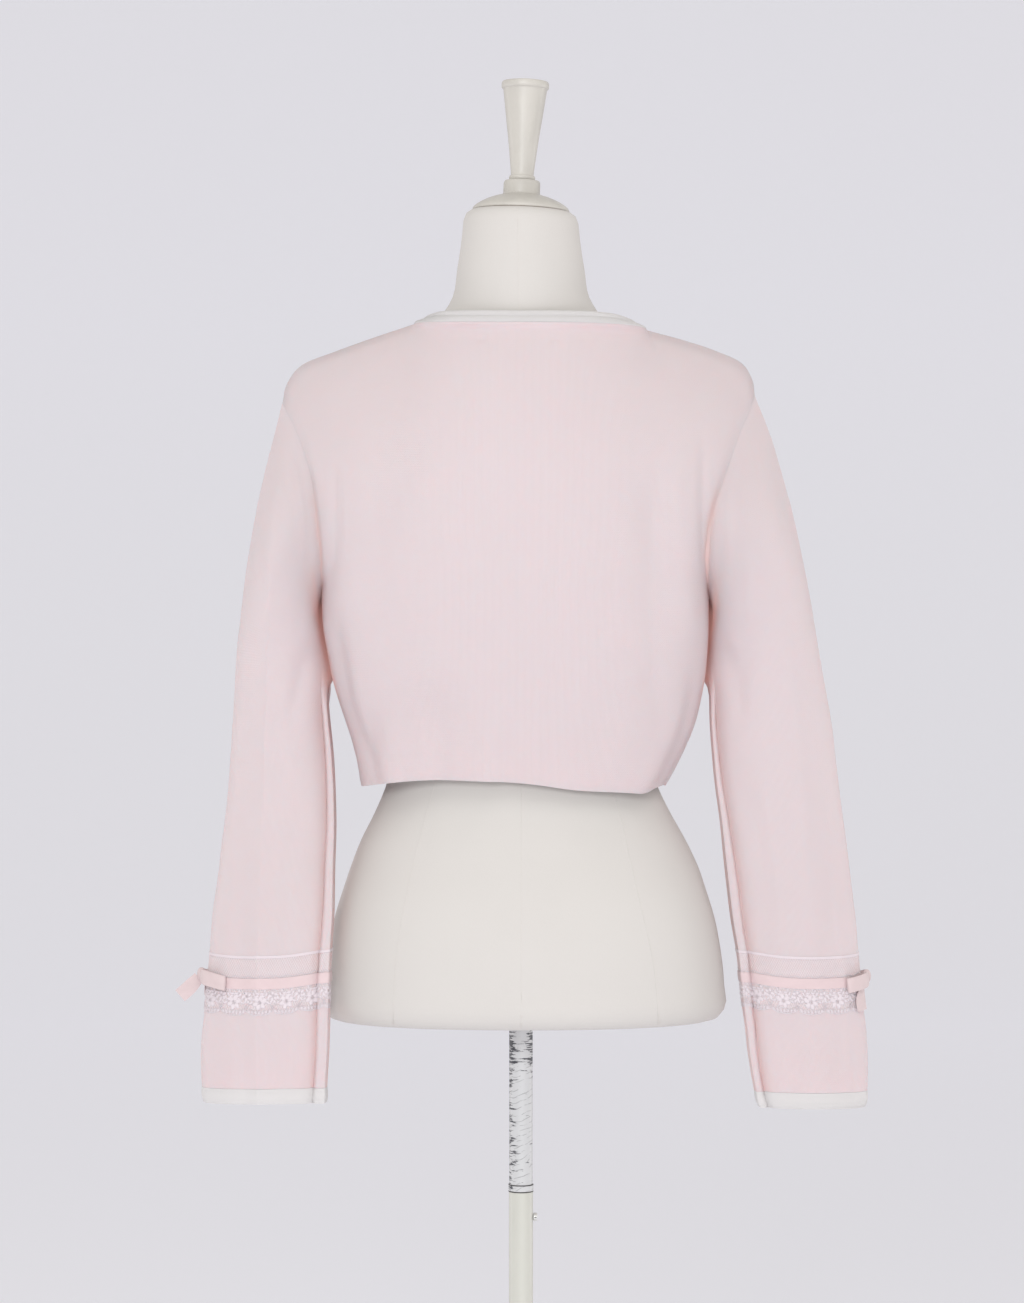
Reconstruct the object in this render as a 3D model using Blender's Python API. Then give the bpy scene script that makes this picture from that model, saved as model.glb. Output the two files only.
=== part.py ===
"""Lace cardigan on a limbless dress form: fine knit panels, sleeves with lace and ribbon, and the stand.

Metres, +Z up. The origin is on the floor, under the middle of the base. The garment's back faces -Y,
its front opening faces +Y, and the wearer's left sleeve is on the -X side.
"""

from collections import namedtuple
from math import cos, pi, radians, sin, tan

import bpy
import numpy as np
from mathutils import Vector

# Cloth
KNIT = 0.0018
SEAM_GAP = 0.0003
LAYER_GAP = 0.0004
TRIM_WIDTH = 0.0115
TRIM_LEAN = 0.35
TRIM_SIDE_LEAN = 2.5
TRIM_SIDE_POWER = 12
TRIM_FRONT_FADE = 0.012
TRIM_LIFT = 0.45
CUFF_RAISED = 0.0005
BAND_HALF = 0.009
BAND_LAP = 0.003
BAND_HIDDEN = 0.08
BAND_SHORT = 0.15
UNDERARM_Z = 1.098
SIDE_SEAM_Y = -0.015

# Shapes of the neckline and the sleeves, as powers, and how a sleeve leaves its armhole
NECK_SQUARE = {"back": 2.5, "front": 2.2}
NECK_RISE = {"back": 0.5, "front": 0.66}
SLEEVE_SQUARE = 2.3
# Outward lean of the sleeve head as it leaves the armhole, from the underarm (0) up to the top (1)
CAP_TOPS = (0, 0.5, 0.8, 1)
CAP_SPREADS = {"left": (0.45, 0.66, 0.44, 0.22), "right": (0.45, 0.66, 0.52, 0.34)}
CAP_BULGE = 0.30
CAP_TOP_EASE = 0.2

# Grid counts: steps up the side seam, round each half of an armhole, and across each half of a panel
SIDE_STEPS = 9
ARM_STEPS = 11
SHOULDER_STEPS = 5
BACK_NECK_STEPS = 7
FRONT_NECK_STEPS = 6
CAP_STEPS = 7
FINE_STEPS = 240
FAIRING_ROUNDS = 4
SHOULDER_SHARES = (0, 0.27, 0.52, 0.73, 0.88, 1)

# Lace and ribbon
LACE = 0.0010
LACE_LIFT = 0.0007
LACE_SCALLOPS = 11
SCALLOP_POINTS = 4
SCALLOP_DEPTH = 0.0042
RIBBON = 0.0008
RIBBON_WIDTH = 0.0088

# Bows, which sit on the ribbon at each sleeve's outer edge
BOW_OFF = 0.0034
BOW_RIBBON = 0.0009
BOW_WIDTH = 0.0098
LOOP_START = 0.0048
LOOP_LENGTH = 0.0185
LOOP_HALF_OPEN = 0.0032
LOOP_DROOP = 0.0040
LOOP_STEPS = 12
LOOP_PINCH = 0.35
TAIL_STEPS = 5
TAIL_OFF = 0.0040
TAIL_PINCH = 0.33
RING_HALF = 180
EDGE_STEP = 0.001
KNOT_HALF = (0.0036, 0.0040, 0.0064)
KNOT_RINGS = 6
KNOT_SIDES = 8

# Buttons
BUTTON_COUNT = 6
BUTTON_SIDES = 12
BUTTON_MARGIN = 0.012

# Dress form and stand
NECK_TOP_Z = 1.4277
NECK_LEAN = radians(2.0)
NECK_FOOT_Z = 1.3480
CAP_RADIUS = 0.0418
CAP_GAP = 0.0006
POLE_RADIUS = 0.0104
INNER_RADIUS = 0.0101
COLLAR_RADIUS = 0.0107
POLE_JOINT_Z = 0.5862
COLLAR_HEIGHT = 0.0055
CLAMP_Z = 0.5640
BASE_RADIUS = 0.150
BASE_THICK = 0.014
HUB_RADIUS = 0.028
HUB_TOP_Z = 0.046
POLE_SIDES = 20
CAP_SIDES = 28
BASE_SIDES = 48
TORSO_STEPS = 14
SHARP_ANGLE = radians(40)
EDGE_DIRECTION = np.array((0.38, 0.61, 0.70))
SIDES = ("left", "right")

# The garment's body below the armholes. left and right are the half widths, back and front the depths
BodySection = namedtuple("BodySection", "z left right back front square_back square_front")
BODY_SECTIONS = (
    BodySection(0.935, 0.1370, 0.1240, -0.089, 0.104, 2.2, 2.1),
    BodySection(0.960, 0.1410, 0.1370, -0.091, 0.106, 2.2, 2.1),
    BodySection(0.990, 0.1500, 0.1495, -0.095, 0.112, 2.2, 2.1),
    BodySection(1.015, 0.1580, 0.1550, -0.100, 0.120, 2.3, 2.1),
    BodySection(1.045, 0.1640, 0.1585, -0.105, 0.128, 2.4, 2.1),
    BodySection(1.075, 0.1690, 0.1600, -0.109, 0.133, 2.5, 2.1),
    BodySection(1.098, 0.1705, 0.1600, -0.111, 0.134, 2.6, 2.1),
)

# How far the hem rides above or below its side ends, along x
HemPoint = namedtuple("HemPoint", "x rise")
BACK_HEM = (
    HemPoint(-0.137, 0.0000),
    HemPoint(-0.105, 0.0050),
    HemPoint(-0.025, 0.0062),
    HemPoint(0.005, 0.0045),
    HemPoint(0.045, -0.0010),
    HemPoint(0.085, -0.0035),
    HemPoint(0.110, -0.0040),
    HemPoint(0.124, 0.0000),
)

# Middle of the back and edge of the front opening, from the underarm level up to the neckline
MidPoint = namedtuple("MidPoint", "share y")
BACK_MIDDLE = (
    MidPoint(0.0, -0.1110),
    MidPoint(0.25, -0.1135),
    MidPoint(0.5, -0.1090),
    MidPoint(0.75, -0.0960),
    MidPoint(1.0, -0.0700),
)
FRONT_MIDDLE = (
    MidPoint(0.0, 0.1340),
    MidPoint(0.25, 0.1310),
    MidPoint(0.5, 0.1210),
    MidPoint(0.75, 0.1060),
    MidPoint(1.0, 0.0900),
)

# Neckline: middle of the back, the two points on the shoulder seams, and middle of the front
BACK_NECK = (0.0, -0.0700, 1.3270)
LEFT_NECK = (-0.0920, 0.0, 1.3315)
RIGHT_NECK = (0.1080, 0.0, 1.3262)
FRONT_NECK = (0.0, 0.0900, 1.2450)

# Shoulder seams beyond the neckline, and the two halves of each armhole from the underarm to the shoulder
SeamPoint = namedtuple("SeamPoint", "x y z")
SHOULDERS = {
    "left": (
        SeamPoint(-0.1310, 0.001, 1.3185),
        SeamPoint(-0.1570, 0.001, 1.3090),
        SeamPoint(-0.1830, 0.001, 1.2995),
        SeamPoint(-0.1940, 0.000, 1.2920),
        SeamPoint(-0.2010, 0.000, 1.2810),
        SeamPoint(-0.2050, -0.001, 1.2640),
    ),
    "right": (
        SeamPoint(0.1270, 0.001, 1.3215),
        SeamPoint(0.1650, 0.001, 1.3095),
        SeamPoint(0.1840, 0.001, 1.3020),
        SeamPoint(0.1930, 0.000, 1.2950),
        SeamPoint(0.1985, 0.000, 1.2850),
        SeamPoint(0.2010, -0.001, 1.2700),
    ),
}
BACK_ARMHOLES = {
    "left": (
        SeamPoint(-0.1700, -0.015, 1.0980),
        SeamPoint(-0.1690, -0.045, 1.1060),
        SeamPoint(-0.1690, -0.064, 1.1300),
        SeamPoint(-0.1725, -0.070, 1.1650),
        SeamPoint(-0.1760, -0.065, 1.1930),
        SeamPoint(-0.1825, -0.053, 1.2150),
        SeamPoint(-0.1920, -0.034, 1.2390),
        SeamPoint(-0.2010, -0.013, 1.2560),
        SeamPoint(-0.2050, -0.001, 1.2640),
    ),
    "right": (
        SeamPoint(0.1600, -0.015, 1.0980),
        SeamPoint(0.1585, -0.045, 1.1060),
        SeamPoint(0.1580, -0.064, 1.1300),
        SeamPoint(0.1610, -0.071, 1.1650),
        SeamPoint(0.1690, -0.066, 1.1900),
        SeamPoint(0.1780, -0.053, 1.2150),
        SeamPoint(0.1890, -0.033, 1.2430),
        SeamPoint(0.1975, -0.013, 1.2600),
        SeamPoint(0.2010, -0.001, 1.2700),
    ),
}
FRONT_ARMHOLES = {
    "left": (
        SeamPoint(-0.1700, -0.015, 1.0980),
        SeamPoint(-0.1680, 0.020, 1.1060),
        SeamPoint(-0.1620, 0.045, 1.1300),
        SeamPoint(-0.1600, 0.055, 1.1650),
        SeamPoint(-0.1660, 0.052, 1.2000),
        SeamPoint(-0.1850, 0.034, 1.2380),
        SeamPoint(-0.2000, 0.012, 1.2560),
        SeamPoint(-0.2050, -0.001, 1.2640),
    ),
    "right": (
        SeamPoint(0.1600, -0.015, 1.0980),
        SeamPoint(0.1580, 0.020, 1.1060),
        SeamPoint(0.1530, 0.045, 1.1300),
        SeamPoint(0.1520, 0.055, 1.1650),
        SeamPoint(0.1600, 0.052, 1.2000),
        SeamPoint(0.1810, 0.034, 1.2410),
        SeamPoint(0.1965, 0.012, 1.2620),
        SeamPoint(0.2010, -0.001, 1.2700),
    ),
}

# Sleeves below the armholes. outer and inner are distances from the middle plane, y is the section's
# middle, depth its whole thickness
SleeveSection = namedtuple("SleeveSection", "z outer inner y depth")
SLEEVES = {
    "left": (
        SleeveSection(1.0300, 0.2460, 0.1665, 0.006, 0.092),
        SleeveSection(0.9774, 0.2486, 0.1625, 0.003, 0.082),
        SleeveSection(0.9314, 0.2518, 0.1588, -0.006, 0.073),
        SleeveSection(0.9009, 0.2541, 0.1580, -0.015, 0.066),
        SleeveSection(0.8600, 0.2582, 0.1582, -0.030, 0.056),
        SleeveSection(0.8232, 0.2620, 0.1586, -0.044, 0.048),
        SleeveSection(0.7965, 0.2632, 0.1598, -0.052, 0.043),
        SleeveSection(0.7460, 0.2672, 0.1606, -0.060, 0.037),
        SleeveSection(0.7150, 0.2701, 0.1614, -0.062, 0.036),
        SleeveSection(0.6838, 0.2690, 0.1631, -0.062, 0.037),
        SleeveSection(0.6710, 0.2672, 0.1635, -0.062, 0.038),
    ),
    "right": (
        SleeveSection(1.0300, 0.2604, 0.1620, 0.006, 0.086),
        SleeveSection(0.9773, 0.2690, 0.1625, 0.004, 0.074),
        SleeveSection(0.9309, 0.2740, 0.1673, 0.001, 0.066),
        SleeveSection(0.8999, 0.2776, 0.1711, -0.002, 0.060),
        SleeveSection(0.8600, 0.2825, 0.1755, -0.004, 0.055),
        SleeveSection(0.8200, 0.2872, 0.1797, -0.006, 0.051),
        SleeveSection(0.7920, 0.2890, 0.1842, -0.008, 0.049),
        SleeveSection(0.7410, 0.2943, 0.1893, -0.009, 0.048),
        SleeveSection(0.7150, 0.2965, 0.1926, -0.009, 0.048),
        SleeveSection(0.6746, 0.2965, 0.1995, -0.009, 0.052),
        SleeveSection(0.6610, 0.2950, 0.2030, -0.009, 0.055),
    ),
}
# Levels of the sleeves' straight stretches. The lace zone is one stretch, so the lace lies flat on it
LACE_ZONES = {"left": (0.7985, 0.7440), "right": (0.7945, 0.7400)}
SLEEVE_ROWS = {
    "left": (1.03, 0.99, 0.95, 0.91, 0.87, 0.83) + LACE_ZONES["left"] + (0.7150, 0.6838),
    "right": (1.03, 0.99, 0.95, 0.91, 0.87, 0.825) + LACE_ZONES["right"] + (0.7100, 0.6746),
}
CUFF_ROWS = {"left": (0.6838, 0.6774, 0.6710), "right": (0.6746, 0.6678, 0.6610)}

# The lace band from its header to the points between its scallops, and the ribbon's top edge
LaceRow = namedtuple("LaceRow", "z raised")
LACE_ROWS = {
    "left": (LaceRow(0.7960, 0.0006), LaceRow(0.7932, 0.0), LaceRow(0.7680, 0.0), LaceRow(0.7492, 0.0006)),
    "right": (LaceRow(0.7920, 0.0006), LaceRow(0.7892, 0.0), LaceRow(0.7645, 0.0), LaceRow(0.7452, 0.0006)),
}
RIBBON_TOPS = {"left": 0.7770, "right": 0.7732}

# Bow tails that hang on the sleeve: how far round from the outer edge, and how far below the knot
HangingTail = namedtuple("HangingTail", "round_edge drop")
HANGING_TAILS = {
    "left": {
        "front": (
            HangingTail(-0.0022, 0.0055),
            HangingTail(-0.0036, 0.0110),
            HangingTail(-0.0062, 0.0175),
            HangingTail(-0.0078, 0.0250),
        ),
    },
    "right": {
        "back": (
            HangingTail(0.0014, 0.0050),
            HangingTail(0.0056, 0.0110),
            HangingTail(0.0080, 0.0165),
            HangingTail(0.0068, 0.0230),
        ),
        "front": (
            HangingTail(-0.0022, 0.0055),
            HangingTail(-0.0036, 0.0110),
            HangingTail(-0.0062, 0.0175),
            HangingTail(-0.0078, 0.0250),
        ),
    },
}

# The left bow's back tail stands out from the sleeve: distances from the knot's middle
FreeTail = namedtuple("FreeTail", "out back up")
FREE_TAILS = {
    "left": {
        "back": (
            FreeTail(0.0042, 0.001, -0.0020),
            FreeTail(0.0120, 0.002, -0.0062),
            FreeTail(0.0215, 0.002, -0.0118),
        ),
    },
    "right": {},
}

# The neck trim from the neckline to its free edge: a wide roll, a groove and a narrow roll
TrimRow = namedtuple("TrimRow", "share raised")
TRIM_ROWS = (
    TrimRow(0.0, 0.0001),
    TrimRow(0.16, 0.0007),
    TrimRow(0.36, 0.0008),
    TrimRow(0.54, 0.0003),
    TrimRow(0.66, 0.0),
    TrimRow(0.82, 0.0006),
    TrimRow(1.0, 0.0002),
)

# The largest folds, as soft lines on the back: a ridge lifts the cloth and a trough lowers it
Fold = namedtuple("Fold", "x1 z1 x2 z2 width lift")
BACK_FOLDS = (
    Fold(0.112, 1.190, 0.112, 1.000, 0.014, -0.0032),
    Fold(0.134, 1.170, 0.138, 1.010, 0.012, 0.0020),
    Fold(-0.150, 1.075, -0.122, 0.960, 0.012, -0.0030),
    Fold(0.146, 1.040, 0.120, 0.945, 0.012, -0.0028),
    Fold(-0.124, 1.020, -0.120, 0.940, 0.014, 0.0022),
    Fold(-0.075, 1.000, -0.074, 0.930, 0.016, -0.0022),
    Fold(-0.030, 1.010, -0.030, 0.930, 0.014, 0.0016),
)

# The torso of the form. centre is how far a section lies to +X
TorsoSection = namedtuple("TorsoSection", "z half centre back front square")
TORSO_SECTIONS = (
    TorsoSection(0.7350, 0.1600, 0.0020, -0.1000, 0.0900, 2.2),
    TorsoSection(0.7370, 0.1665, 0.0025, -0.1065, 0.0960, 2.2),
    TorsoSection(0.7434, 0.1713, 0.0030, -0.1110, 0.1000, 2.2),
    TorsoSection(0.7640, 0.1715, 0.0030, -0.1130, 0.1020, 2.2),
    TorsoSection(0.7970, 0.1680, 0.0030, -0.1130, 0.1030, 2.2),
    TorsoSection(0.8225, 0.1630, 0.0030, -0.1100, 0.1020, 2.2),
    TorsoSection(0.8450, 0.1561, 0.0030, -0.1050, 0.1000, 2.2),
    TorsoSection(0.8655, 0.1492, 0.0030, -0.0990, 0.0970, 2.1),
    TorsoSection(0.8880, 0.1395, 0.0020, -0.0910, 0.0930, 2.1),
    TorsoSection(0.9120, 0.1268, 0.0013, -0.0820, 0.0880, 2.1),
    TorsoSection(0.9400, 0.1150, 0.0005, -0.0740, 0.0840, 2.1),
    TorsoSection(0.9700, 0.1120, 0.0000, -0.0720, 0.0860, 2.1),
    TorsoSection(1.0100, 0.1200, 0.0000, -0.0780, 0.0980, 2.1),
    TorsoSection(1.0600, 0.1370, 0.0000, -0.0930, 0.1180, 2.1),
    TorsoSection(1.1100, 0.1450, 0.0000, -0.1030, 0.1240, 2.2),
    TorsoSection(1.1600, 0.1470, 0.0000, -0.1050, 0.1120, 2.2),
    TorsoSection(1.2100, 0.1520, 0.0000, -0.0980, 0.0900, 2.1),
    TorsoSection(1.2500, 0.1700, 0.0000, -0.0860, 0.0700, 2.0),
    TorsoSection(1.2780, 0.1780, 0.0000, -0.0760, 0.0590, 1.6),
    TorsoSection(1.2980, 0.1500, 0.0010, -0.0690, 0.0530, 1.5),
    TorsoSection(1.3150, 0.1080, 0.0010, -0.0620, 0.0505, 1.68),
    TorsoSection(1.3300, 0.0780, 0.0000, -0.0580, 0.0525, 1.9),
    TorsoSection(1.3480, 0.0620, 0.0000, -0.0560, 0.0540, 2.0),
    TorsoSection(1.3800, 0.0545, 0.0000, -0.0530, 0.0530, 2.0),
    TorsoSection(1.4100, 0.0503, 0.0000, -0.0500, 0.0500, 2.0),
    TorsoSection(1.4190, 0.0494, 0.0000, -0.0491, 0.0491, 2.0),
    TorsoSection(1.4248, 0.0472, 0.0000, -0.0470, 0.0470, 2.0),
    TorsoSection(1.4277, 0.0430, 0.0000, -0.0428, 0.0428, 2.0),
)

# Turned profiles, radius and height from the foot of the piece
ProfilePoint = namedtuple("ProfilePoint", "radius height")
CAP_PROFILE = (
    ProfilePoint(CAP_RADIUS, 0.0),
    ProfilePoint(0.0410, 0.0024),
    ProfilePoint(0.0370, 0.0062),
    ProfilePoint(0.0300, 0.0100),
    ProfilePoint(0.0215, 0.0130),
    ProfilePoint(0.0158, 0.0145),
    ProfilePoint(0.0158, 0.0245),
    ProfilePoint(0.0146, 0.0263),
)
FINIAL_PROFILE = (
    ProfilePoint(0.0100, 0.0),
    ProfilePoint(0.0112, 0.0012),
    ProfilePoint(0.0112, 0.0030),
    ProfilePoint(0.0098, 0.0044),
    ProfilePoint(0.0123, 0.0280),
    ProfilePoint(0.0155, 0.0520),
    ProfilePoint(0.0187, 0.0775),
    ProfilePoint(0.0203, 0.0782),
    ProfilePoint(0.0205, 0.0820),
    ProfilePoint(0.0192, 0.0850),
)
BUTTON_PROFILE = (
    ProfilePoint(0.0046, 0.0),
    ProfilePoint(0.0055, 0.0006),
    ProfilePoint(0.0055, 0.0016),
    ProfilePoint(0.0047, 0.0024),
)
CLAMP_PROFILE = (
    ProfilePoint(0.0030, 0.0),
    ProfilePoint(0.0036, 0.0008),
    ProfilePoint(0.0036, 0.0026),
    ProfilePoint(0.0028, 0.0034),
)
BASE_PROFILE = (
    ProfilePoint(BASE_RADIUS, 0.0),
    ProfilePoint(BASE_RADIUS, 0.0080),
    ProfilePoint(BASE_RADIUS - 0.004, 0.0125),
    ProfilePoint(BASE_RADIUS - 0.012, BASE_THICK),
    ProfilePoint(HUB_RADIUS, BASE_THICK + 0.004),
    ProfilePoint(HUB_RADIUS - 0.006, HUB_TOP_Z - 0.003),
    ProfilePoint(HUB_RADIUS - 0.009, HUB_TOP_Z),
)

COLOURS = {
    "pink knit": (0.84, 0.62, 0.63, 1.0),
    "off-white rib": (0.86, 0.85, 0.84, 1.0),
    "white lace": (0.90, 0.86, 0.86, 1.0),
    "pink ribbon": (0.82, 0.60, 0.61, 1.0),
    "form cloth": (0.78, 0.75, 0.70, 1.0),
    "cream paint": (0.72, 0.70, 0.64, 1.0),
    "shell button": (0.85, 0.78, 0.77, 1.0),
    "white tube": (0.80, 0.80, 0.80, 1.0),
    "screw steel": (0.55, 0.55, 0.56, 1.0),
}
ROUGHNESS = {
    "pink ribbon": 0.45,
    "cream paint": 0.45,
    "shell button": 0.3,
    "white tube": 0.4,
    "screw steel": 0.35,
}
PLAIN_ROUGHNESS = 0.9


def clear_scene():
    for thing in list(bpy.data.objects):
        bpy.data.objects.remove(thing)


def material(name):
    """The named finish, made once."""
    made = bpy.data.materials.get(name)
    if made:
        return made
    made = bpy.data.materials.new(name)
    made.use_nodes = True
    shader = made.node_tree.nodes["Principled BSDF"]
    shader.inputs["Base Color"].default_value = COLOURS[name]
    shader.inputs["Roughness"].default_value = ROUGHNESS.get(name, PLAIN_ROUGHNESS)
    shader.inputs["Metallic"].default_value = 1.0 if name == "screw steel" else 0.0
    return made


def unit(vectors):
    """Vectors at length 1."""
    lengths = np.linalg.norm(vectors, axis=-1, keepdims=True)
    return vectors / np.maximum(lengths, 1e-12)


def through(knots, values, at):
    """A smooth curve through values at knots: cubic pieces whose slopes come from the neighbours."""
    knots, values, at = (np.asarray(a, float) for a in (knots, values, at))
    slopes = np.gradient(values, knots)
    piece = np.clip(np.searchsorted(knots, at, "right") - 1, 0, len(knots) - 2)
    width = knots[piece + 1] - knots[piece]
    t = np.clip((at - knots[piece]) / width, 0, 1)
    return (
        values[piece] * (1 + 2 * t) * (1 - t) ** 2
        + slopes[piece] * width * t * (1 - t) ** 2
        + values[piece + 1] * t * t * (3 - 2 * t)
        - slopes[piece + 1] * width * t * t * (1 - t)
    )


def columns(table, key, names, at):
    """Smooth values of the named columns at any place along a table's key column."""
    rows = sorted(table, key=lambda row: getattr(row, key))
    knots = [getattr(row, key) for row in rows]
    return [through(knots, [getattr(row, name) for row in rows], at) for name in names]


def along(line, shares):
    """Points at shares of a fine line's length."""
    line = np.asarray(line, float)
    length = np.concatenate([[0], np.cumsum(np.linalg.norm(np.diff(line, axis=0), axis=1))])
    at = np.asarray(shares) * length[-1]
    return np.stack([np.interp(at, length, line[:, axis]) for axis in range(3)], axis=1)


def smooth_line(points, count=160):
    """A fine smooth line through seam points."""
    points = np.asarray(points, float)
    length = np.concatenate([[0], np.cumsum(np.linalg.norm(np.diff(points, axis=0), axis=1))])
    at = np.linspace(0, length[-1], count)
    return np.stack([through(length, points[:, axis], at) for axis in range(3)], axis=1)


def even(steps):
    return np.linspace(0, 1, steps + 1)


def power(values, exponent):
    """A power that keeps the sign."""
    return np.sign(values) * np.abs(values) ** exponent


def outward_sign(side):
    return -1 if side == "left" else 1


def side_seam(side):
    """Points of a side seam, from the hem to the underarm."""
    z = np.linspace(BODY_SECTIONS[0].z, UNDERARM_Z, SIDE_STEPS + 1)
    half = columns(BODY_SECTIONS, "z", (side,), z)[0]
    points = np.stack([outward_sign(side) * half, np.full_like(z, SIDE_SEAM_Y), z], axis=1)
    points[-1] = BACK_ARMHOLES[side][0]
    return points


def body_half_row(z, side, face, start_x, steps):
    """Points of one level below the armholes, from the middle (at start_x) to the side seam."""
    names = (side, face, "square_" + face)
    half, depth, square = columns(BODY_SECTIONS, "z", names, z)
    turn = np.linspace(0, pi / 2, FINE_STEPS)
    across = half * power(np.sin(turn), 2 / square)
    y = SIDE_SEAM_Y + (depth - SIDE_SEAM_Y) * power(np.cos(turn), 2 / square)
    line = np.stack([outward_sign(side) * across, y, np.full_like(turn, z)], axis=1)
    line = line[across >= start_x]
    line[0, 0] = outward_sign(side) * start_x
    return along(line, even(steps))


def hem_rise(x):
    """How far the back hem rides up at x."""
    return through([p.x for p in BACK_HEM], [p.rise for p in BACK_HEM], x)


def neckline(side, face, steps, start_x):
    """Points of half a neckline, from the middle (at start_x) to the shoulder seam."""
    middle = BACK_NECK if face == "back" else FRONT_NECK
    end = LEFT_NECK if side == "left" else RIGHT_NECK
    square = NECK_SQUARE[face]
    turn = np.linspace(0, pi / 2, FINE_STEPS)
    across = power(np.sin(turn), 2 / square)
    y = end[1] + (middle[1] - end[1]) * power(np.cos(turn), 2 / square)
    z = end[2] + (middle[2] - end[2]) * (1 - across**2) ** NECK_RISE[face]
    line = np.stack([end[0] * across, y, z], axis=1)
    line = line[np.abs(line[:, 0]) >= start_x]
    line[0, 0] = outward_sign(side) * start_x
    return along(line, even(steps))


def shoulder(side):
    """Points of a shoulder seam, from the neckline to the armhole, closer together where it bends."""
    start = LEFT_NECK if side == "left" else RIGHT_NECK
    return along(smooth_line((start,) + SHOULDERS[side]), SHOULDER_SHARES)


def armhole(side, face):
    """Points of half an armhole, from the underarm to the shoulder seam."""
    table = BACK_ARMHOLES if face == "back" else FRONT_ARMHOLES
    return along(smooth_line(table[side]), even(ARM_STEPS))


def upper_half(side, face, bottom, start_x):
    """Rows above the underarm: a net stretched between the row below, the armhole, the neckline with
    the shoulder seam, and the middle line. It rounds over towards the shoulder like a quarter ellipse."""
    edge = armhole(side, face)
    neck_steps = BACK_NECK_STEPS if face == "back" else FRONT_NECK_STEPS
    top = np.concatenate([neckline(side, face, neck_steps, start_x), shoulder(side)[1:]])
    share = even(ARM_STEPS)
    height = (np.sin(share * pi / 2) + share) / 2
    table = BACK_MIDDLE if face == "back" else FRONT_MIDDLE
    y = through([p.share for p in table], [p.y for p in table], height)
    y += (bottom[0, 1] - y[0]) * (1 - share) + (top[0, 1] - y[-1]) * share
    z = bottom[0, 2] + (top[0, 2] - bottom[0, 2]) * height
    middle = np.stack([np.full_like(share, bottom[0, 0]), y, z], axis=1)
    across = even(len(bottom) - 1)[None, :, None]
    lift = height[:, None, None]
    level = (1 - across) * middle[:, None] + across * edge[:, None]
    net = level + (1 - lift) * (bottom - level[0]) + lift * (top - level[-1])
    bowed = edge[:, None] + (middle - edge)[:, None] * (1 - across**2.2)
    turn = 1 - np.sqrt(1 - lift**2)
    net[..., 1] = (bowed + (1 - turn) * (bottom - bowed[0]) + turn * (top - bowed[-1]))[..., 1]
    for _ in range(FAIRING_ROUNDS):
        around = (net[:-2, 1:-1] + net[2:, 1:-1] + net[1:-1, :-2] + net[1:-1, 2:]) / 4
        net[1:-1, 1:-1] += (around - net[1:-1, 1:-1]) / 2
    return net[1:]


def panel_half(side, face, start_x=0.0):
    """Outer points of half a body panel, rows from the hem up, columns from the middle to the side."""
    steps = (BACK_NECK_STEPS if face == "back" else FRONT_NECK_STEPS) + SHOULDER_STEPS
    levels = BODY_SECTIONS[0].z + (UNDERARM_Z - BODY_SECTIONS[0].z) * even(SIDE_STEPS)
    lower = np.array([body_half_row(z, side, face, start_x, steps) for z in levels])
    if face == "back":
        lower[..., 2] += hem_rise(lower[..., 0]) * (1 - even(SIDE_STEPS)[:, None]) ** 2
    lower[:, -1] = side_seam(side)
    return np.concatenate([lower, upper_half(side, face, lower[-1], start_x)])


def grid_normals(grid, closed=False):
    """Unit normals of a grid, on the side where its columns cross its rows."""
    if closed:
        over = np.roll(grid, -1, axis=1) - np.roll(grid, 1, axis=1)
    else:
        over = np.gradient(grid, axis=1)
    return unit(np.cross(over, np.gradient(grid, axis=0)))


def fold_lift(x, z):
    """How far the back's folds lift each point: a soft bell across each line, faded at its ends."""
    lift = np.zeros_like(x)
    for fold in BACK_FOLDS:
        run = np.array([fold.x2 - fold.x1, fold.z2 - fold.z1])
        length = np.linalg.norm(run)
        run /= length
        down = ((x - fold.x1) * run[0] + (z - fold.z1) * run[1]) / length
        off = (x - fold.x1) * run[1] - (z - fold.z1) * run[0]
        fade = np.clip(1.25 - 2 * np.abs(down - 0.5), 0, 1)
        lift += fold.lift * fade * np.exp(-((off / fold.width) ** 2))
    return lift


def back_grid():
    """Outer points of the back, from the left side to the right, with its folds."""
    left, right = panel_half("left", "back"), panel_half("right", "back")
    grid = np.concatenate([left[:, :0:-1], right], axis=1)
    lift = fold_lift(grid[..., 0], grid[..., 2])
    lift[:, 0] = lift[:, -1] = lift[-1] = 0
    return grid + grid_normals(grid) * lift[..., None]


def front_grids():
    """Outer points of the right front, the band between the fronts, and the left front."""
    right = panel_half("right", "front", BAND_HALF)[:, ::-1]
    left = panel_half("left", "front", BAND_HALF)
    middle = (right[:, -1] + left[:, 0]) / 2
    return right, np.stack([right[:, -1], middle, left[:, 0]], axis=1), left


def sleeve_ring(side, z, count=2 * ARM_STEPS):
    """Points of one level of a sleeve, from the side that faces the body, round by the back."""
    outer, inner, y, depth = columns(SLEEVES[side], "z", ("outer", "inner", "y", "depth"), z)
    turn = np.linspace(0, 2 * pi, 2 * FINE_STEPS)
    across = (outer + inner) / 2 - (outer - inner) / 2 * power(np.cos(turn), 2 / SLEEVE_SQUARE)
    back = y - depth / 2 * power(np.sin(turn), 2 / SLEEVE_SQUARE)
    line = np.stack([outward_sign(side) * across, back, np.full_like(turn, z)], axis=1)
    return along(line, np.arange(count) / count)


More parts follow.
